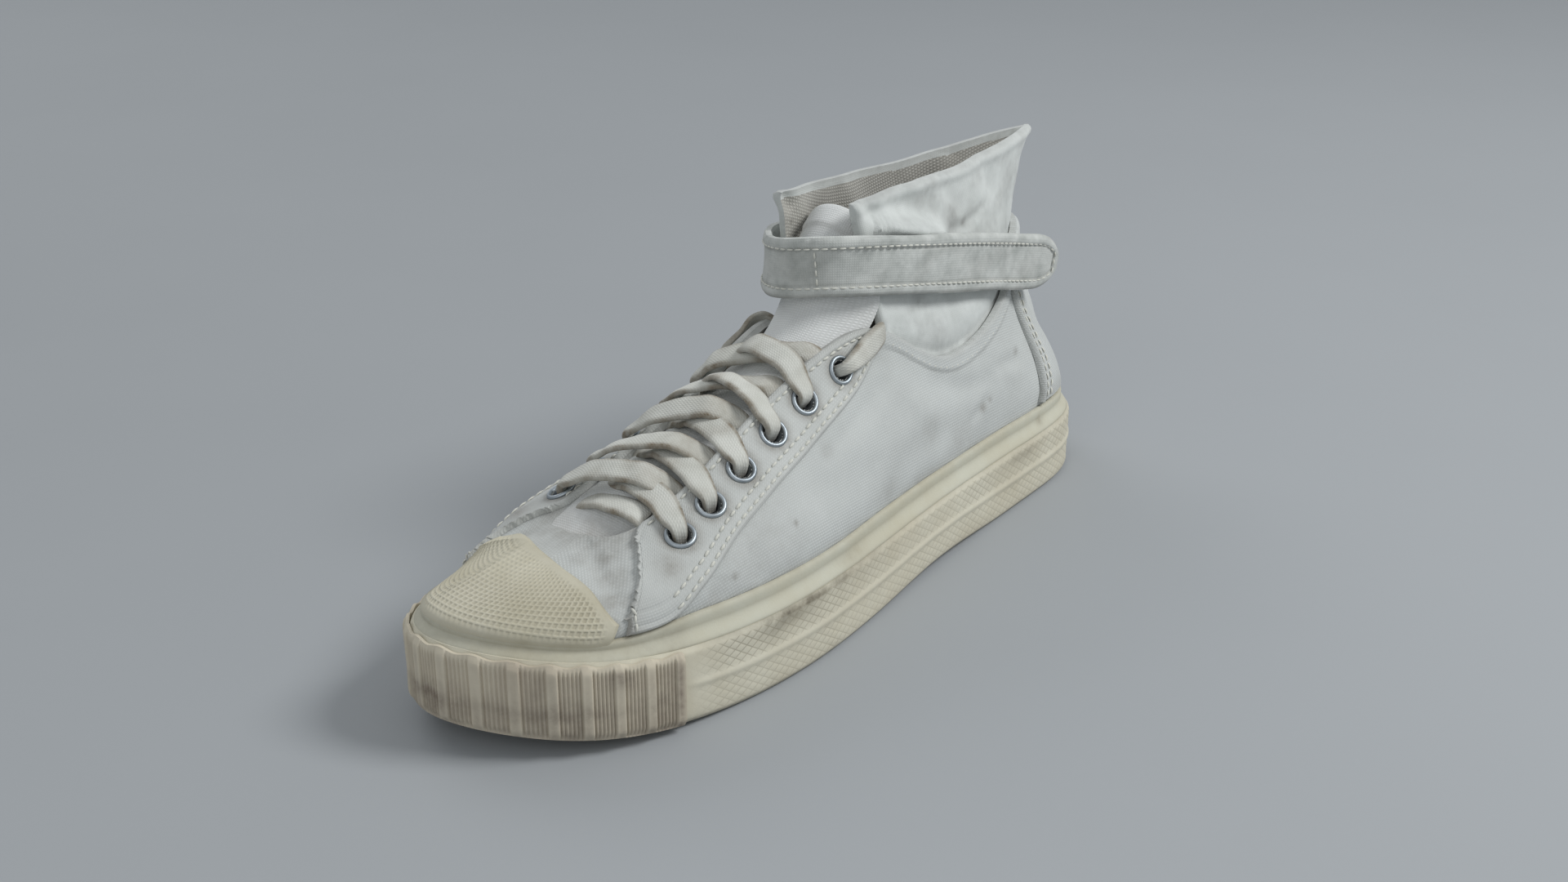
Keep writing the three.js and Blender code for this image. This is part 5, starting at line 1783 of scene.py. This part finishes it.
@dataclass
class Eyelets:
    """Pressed rings that carry the lace."""

    upper: Upper
    flange: float = 4.8
    bore: float = 2.3
    barrel: float = 3.1
    rim: float = 0.9
    lip: float = 3.3

    def ring(self, eyelet: EyeletPlace) -> Form:
        """One ring: a rolled flange and a barrel through the cloth."""
        seat = self.upper.overlay - 0.1
        turn = np.linspace(0.0, math.pi, 9)
        middle = (self.flange + self.lip) / 2.0
        crown = (self.flange - self.lip) / 2.0 * np.cos(turn)
        roll = np.stack([middle + crown, seat + self.rim * np.sin(turn)], -1)
        funnel = [(2.75, seat - 0.45), (self.bore + 0.1, seat - 1.1)]
        back = [(self.bore, -2.3), (self.barrel, -2.3)]
        under = [(self.barrel, seat - 0.3), (self.flange - 0.2, seat - 0.3)]
        profile = np.vstack([roll, funnel + back + under])
        angles = np.linspace(0.0, 2.0 * math.pi, 40, endpoint=False)
        across = unit(np.cross(eyelet.up, np.array([1.0, 0.0, 0.2])))
        other = np.cross(eyelet.up, across)
        radial = across * np.cos(angles)[:, None] + other * np.sin(angles)[:, None]
        rings = eyelet.point + radial[:, None] * profile[None, :, :1] + eyelet.up * profile[None, :, 1:]
        count, around = rings.shape[:2]
        index = np.arange(count * around).reshape(count, around)
        after, turned = np.roll(index, -1, 0), np.roll(index, -1, 1)
        faces = np.stack([index, after, np.roll(after, -1, 1), turned], -1).reshape(-1, 4)
        shade = np.broadcast_to((profile[:, 1] < seat + 0.1).astype(float) * 0.7, (count, around))
        flat = np.zeros((count * around, 2))
        return Form(rings.reshape(-1, 3), faces.tolist(), flat, {"shade": shade.reshape(-1)})

    def build(self, packed: Frame) -> None:
        """Writes the eyelets of each side."""
        places = self.upper.eyelets()
        for side in Side:
            mine = [eyelet for eyelet in places if eyelet.side is side]
            nodes = [f"eyelet_{side.word}_{eyelet.number}" for eyelet in mine]
            form = Form.joined([self.ring(eyelet) for eyelet in mine])
            packed.add(f"eyelets_{side.word}", form, [EYELET_METAL], "eyelet_metal", nodes)


# How each strand of the lace lies: side, eyelet, height over its own edge, rise half way,
# roll in degrees and fold
STRANDS = (
    (Side.LATERAL, 1, 3.1, 5.0, -6.0, 0.1), (Side.MEDIAL, 1, 6.8, 7.2, 8.0, 0.1),
    (Side.LATERAL, 2, 3.1, 5.0, 6.0, 0.15), (Side.MEDIAL, 2, 7.0, 7.4, -10.0, 0.2),
    (Side.LATERAL, 3, 3.1, 5.0, -9.0, 0.1), (Side.MEDIAL, 3, 7.2, 7.5, 12.0, 0.3),
    (Side.LATERAL, 4, 3.5, 8.0, 20.0, 0.3), (Side.MEDIAL, 4, 5.4, 4.8, -12.0, 0.2),
    (Side.LATERAL, 5, 3.5, 8.2, -8.0, 0.2), (Side.MEDIAL, 5, 5.8, 5.0, 16.0, 0.4),
)


@dataclass
class Laces:
    """The flat lace: strands that cross over the throat, a bar in front and tucked ends."""

    upper: Upper
    width: float = 8.5
    thickness: float = 1.9
    throat_up: Triple = (0.29, 0.0, 0.957)
    over: Pair = (-2.6, 1.0)
    dive: Triple = (5.2, 3.6, 0.0)
    tuck: Triple = (8.0, -2.5, -4.2)
    bar: Triple = (3.4, 4.6, 1.0)
    # A strand that rises past this lies on top, and keeps its height until it is clear of the lower one
    on_top: float = 6.0
    shoulder: float = 2.4

    def __post_init__(self) -> None:
        """Finds the eyelets by side and number."""
        self.eyelets = {(eyelet.side, eyelet.number): eyelet for eyelet in self.upper.eyelets()}
        self.up = np.array(self.throat_up)

    def beside(self, side: Side, number: int, way: Triple) -> Grid:
        """A point beside an eyelet: towards the toe, into the throat and up from its edge."""
        towards_toe, inside, up = way
        edge = self.upper.last.rib(self.eyelets[side, number].s, 1.0)
        level = np.array([self.up[2] * towards_toe, -side.value * inside, -self.up[0] * towards_toe])
        return edge + level + self.up * up

    def strip(
        self,
        points: Sequence[Grid],
        faces: Sequence[Grid],
        squeeze: Sequence[float],
        roll: float,
        fold: float,
    ) -> Form:
        """A length of lace through points.

        Args:
            points: Points of its middle.
            faces: Direction that its face looks at each point.
            squeeze: Share of its width at each point.
            roll: Degrees that it is rolled over half way.
            fold: How far its middle is folded along, from 0 to 1.

        Returns:
            The form, with its edges soiled and painted shade over its far half.
        """
        a = np.linspace(0.0, 1.0, 84)
        curve = OpenCurve(points)
        middle, along = curve(a), curve.along(a)
        face = unit(even_curve(faces, a))
        face = unit(face - along * np.sum(face * along, -1, keepdims=True))
        turn = np.radians(roll) * np.sin(math.pi * a)
        side = np.cross(face, along)
        side, face = (
            side * np.cos(turn)[:, None] + face * np.sin(turn)[:, None],
            face * np.cos(turn)[:, None] - side * np.sin(turn)[:, None],
        )
        share = np.clip(even_curve([[value] for value in squeeze], a)[:, 0], 0.2, 1.1)
        around = np.linspace(0.0, 2.0 * math.pi, 30, endpoint=False)
        x = np.sign(np.cos(around)) * np.abs(np.cos(around)) ** 0.55
        y = np.sign(np.sin(around)) * np.abs(np.sin(around)) ** 0.5
        half = self.width / 2.0 * share
        thick = self.thickness / 2.0 * (1.0 + 0.8 * (1.0 - share))
        waist = 1.0 - 0.12 * hump(x, 0.35)
        bow = fold * 1.6 * (x * x)[None] * share[:, None]
        rough = middle[:, None] + side[:, None] * (half[:, None] * x[None])[..., None]
        wrinkle = 0.36 * lumps(rough, 5.0, 2.0) + 0.3 * lumps(rough, 11.0, 7.0)
        high = thick[:, None] * (y * waist)[None] - bow + wrinkle
        rings = rough + face[:, None] * high[..., None]
        flat = paired(lengths(middle)[:, None], half[:, None] * x[None])
        edge = np.broadcast_to(smooth(0.6, 0.95, np.abs(x))[None], high.shape)
        dirt = 1.3 * edge * (0.6 + 0.8 * lumps(rough, 8.0, 3.0))
        dirt = dirt + 0.45 * np.clip(lumps(rough, 7.0, 8.0), 0.0, 1.0)
        ends = 0.55 * (1.0 - smooth(0.0, 0.16, a))[:, None]
        # Painted shade over the far half of each strand, where it runs under the others
        dirt = dirt + 0.34 * smooth(0.48, 0.8, a)[:, None]
        return tube(rings, flat, {"dirt": np.maximum(dirt, ends), "shade": 0.2 * edge + 0.4 * ends})

    def strand(
        self, side: Side, number: int, height: float, rise: float, roll: float, fold: float
    ) -> Form:
        """A strand out of one eyelet, over the throat, down under the edge across from it.

        Args:
            side: Side of the eyelet that it comes out of.
            number: Number of that eyelet.
            height: Height over that side's edge.
            rise: Height over the throat half way.
            roll: Degrees that it is rolled over half way.
            fold: How far its middle is folded along, from 0 to 1.

        Returns:
            The strand's form.
        """
        start = self.eyelets[side, number]
        over = self.beside(side, number, (*self.over, height))
        dive = self.beside(side.other, number + 1, self.dive)
        tuck = self.beside(side.other, number + 1, self.tuck)
        edges = [self.beside(*place, (0, 0, 0)) for place in ((side, number), (side.other, number + 1))]
        flat = (edges[0] + edges[1]) / 2.0
        crossing = (over + dive) / 2.0
        crossing = crossing + self.up * (rise - (crossing - flat) @ self.up)
        clear = (crossing + dive) / 2.0 + self.up * (self.shoulder if rise > self.on_top else 0.0)
        lean = unit(over - start.point)
        below, mouth = start.beside(lean, -1.5, -0.4), start.beside(lean, 3.2, 1.6)
        raised = (mouth + over) / 2.0 + start.up * 0.2
        points = [below, mouth, raised, over, crossing, clear, dive, tuck]
        inward = unit(lean + start.up * 0.2)
        faces = [-inward, unit(start.up - inward * 0.6), start.up, unit(start.up + self.up)]
        faces += [self.up] * 4
        return self.strip(points, faces, (0.46, 0.62, 0.94, 1.0, 1.0, 1.0, 0.98, 0.9), roll, fold)

    def front_bar(self) -> Form:
        """The bar that joins the two lowest eyelets under their edges."""
        outer, inner = (self.beside(side, 1, self.bar) for side in Side)
        sink = self.up * -2.0
        beyond = (outer - inner) * 0.12
        middle = (outer + inner) / 2.0 + self.up * 1.8
        points = [outer + beyond + sink, outer, middle, inner, inner - beyond + sink]
        return self.strip(points, [self.up] * 5, (0.9, 1.0, 1.0, 1.0, 0.9), 10.0, 0.2)

    def end(self, side: Side) -> Form:
        """The last stretch, from the top eyelet over the stay's corner and in."""
        start = self.eyelets[side, len(self.upper.eyelet_places)]
        back = -side.value
        last = self.upper.last
        places = [(start.s + back * step, share) for step, share in ((0.36, 0.9), (0.66, 0.975))]
        seat = self.upper.overlay + 1.3
        lifted, ups = [], []
        for (s, v), extra in zip(places, (0.8, 0.2)):
            ups.append(normals(last.rib, np.array(s), np.array(v)))
            lifted.append(last.rib(s, v) + ups[-1] * (seat + extra))
        lean = unit(lifted[0] - start.point)
        below, mouth = start.beside(lean, -1.5, -0.4), start.beside(lean, 3.4, 1.0)
        tucked = last.rib(start.s + back * 0.8, 1.0) + np.array([-2.5, -side.value * 4.6, -3.4])
        points = [below, mouth, *lifted, tucked]
        faces = [-lean, unit(start.up - lean * 0.5), *ups, unit(ups[1] + self.up)]
        return self.strip(points, faces, (0.42, 0.5, 0.88, 0.82, 0.55), 6.0 * side.value, 0.4)

    def build(self, packed: Frame) -> None:
        """Writes the lace, a piece for each crossing."""
        for number in range(1, len(self.upper.eyelet_places)):
            rows = [row for row in STRANDS if row[1] == number]
            form = Form.joined([self.strand(*row) for row in rows])
            nodes = [f"lace_cross_{number}"]
            packed.add(f"lace_crossing_{number}", form, [LACE_COTTON], "lace_cotton", nodes)
        packed.add("lace_front_bar", self.front_bar(), [LACE_COTTON], "lace_cotton", ["lace_bar"])
        for side in Side:
            nodes = [f"lace_end_{side.word}"]
            packed.add(f"lace_tucked_{side.word}", self.end(side), [LACE_COTTON], "lace_cotton", nodes)


# Studio


@dataclass
class Studio:
    """Plain pale floor, soft lights and a camera at the photograph's angle to the shoe."""

    floor_m: float = 12.0
    eye_mm: Triple = (439.4, 357.6, 298.8)
    target_mm: Triple = (23.01, 17.23, 57.93)
    field_of_view_deg: float = 26.0
    # Place in metres, size in metres, power in watts
    lights: tuple[tuple[Triple, float, float], ...] = (
        ((-0.6, 0.95, 1.2), 0.6, 15.8),
        ((1.4, 0.6, 0.9), 1.4, 4.6),
        ((-0.2, -1.4, 1.2), 1.2, 5.0),
    )
    sky: str = "#c3c7cb"
    sky_strength: float = 0.69

    def floor(self) -> None:
        """A matt painted floor, faintly uneven in tone."""
        half = self.floor_m / 2.0
        mesh = bpy.data.meshes.new("floor")
        corners = [(-half, -half, 0), (half, -half, 0), (half, half, 0), (-half, half, 0)]
        mesh.from_pydata(corners, [], [(0, 1, 2, 3)])
        paint = Finish("matt_floor_paint", "#a1a5a8", "#9da1a4", "#909294", 0.8, patch_mm=900.0)
        material, tree, shader = paint.start()
        tree.links.new(paint.worn_and_shaded_colour(tree), shader.inputs["Base Color"])
        mesh.materials.append(material)
        ground = placed("floor", mesh)

    def light(self, packed: Frame) -> None:
        """Soft area lights aimed at the shoe, and an even sky."""
        aim = Vector(packed.metres(np.array(self.target_mm)))
        for number, (place, size, power) in enumerate(self.lights, 1):
            lamp = bpy.data.lights.new(f"soft_light_{number}", "AREA")
            lamp.shape, lamp.size, lamp.energy = "DISK", size, power
            aimed(lamp.name, lamp, Vector(place), aim)
        world = bpy.data.worlds.new("studio_sky")
        world.use_nodes = True
        glow = world.node_tree.nodes["Background"]
        glow.inputs["Color"].default_value = linear(self.sky)
        glow.inputs["Strength"].default_value = self.sky_strength
        bpy.context.scene.world = world
        bpy.context.scene.view_settings.view_transform = "Standard"

    def camera(self, packed: Frame) -> None:
        """The camera, with the photograph's field of view."""
        lens = bpy.data.cameras.new("view")
        wide = math.tan(math.radians(self.field_of_view_deg / 2.0)) * 16.0 / 9.0
        lens.sensor_width = 36.0
        lens.lens = lens.sensor_width / 2.0 / wide
        lens.clip_start, lens.clip_end = 0.01, 50.0
        eye, target = (Vector(packed.metres(np.array(p))) for p in (self.eye_mm, self.target_mm))
        bpy.context.scene.camera = aimed("view", lens, eye, target)

    def build(self, packed: Frame) -> None:
        """Sets up the studio."""
        self.camera(packed)
        self.floor()
        self.light(packed)


def main() -> None:
    """Builds the shoe piece by piece around its solids."""
    logging.basicConfig(level=logging.INFO, format="%(name)s: %(message)s")
    last = Last()
    sole = Sole(last)
    packed = Frame(sole.frame_shift())
    log.info("frame shift %s mm", np.round(packed.shift, 3))
    Studio().build(packed)
    sole.build(packed)
    upper = Upper(last)
    upper.build(packed)
    Cuff(upper).build(packed)
    Tongue().build(packed)
    Strap().build(packed)
    Eyelets(upper).build(packed)
    Laces(upper).build(packed)


if __name__ == "__main__":
    main()
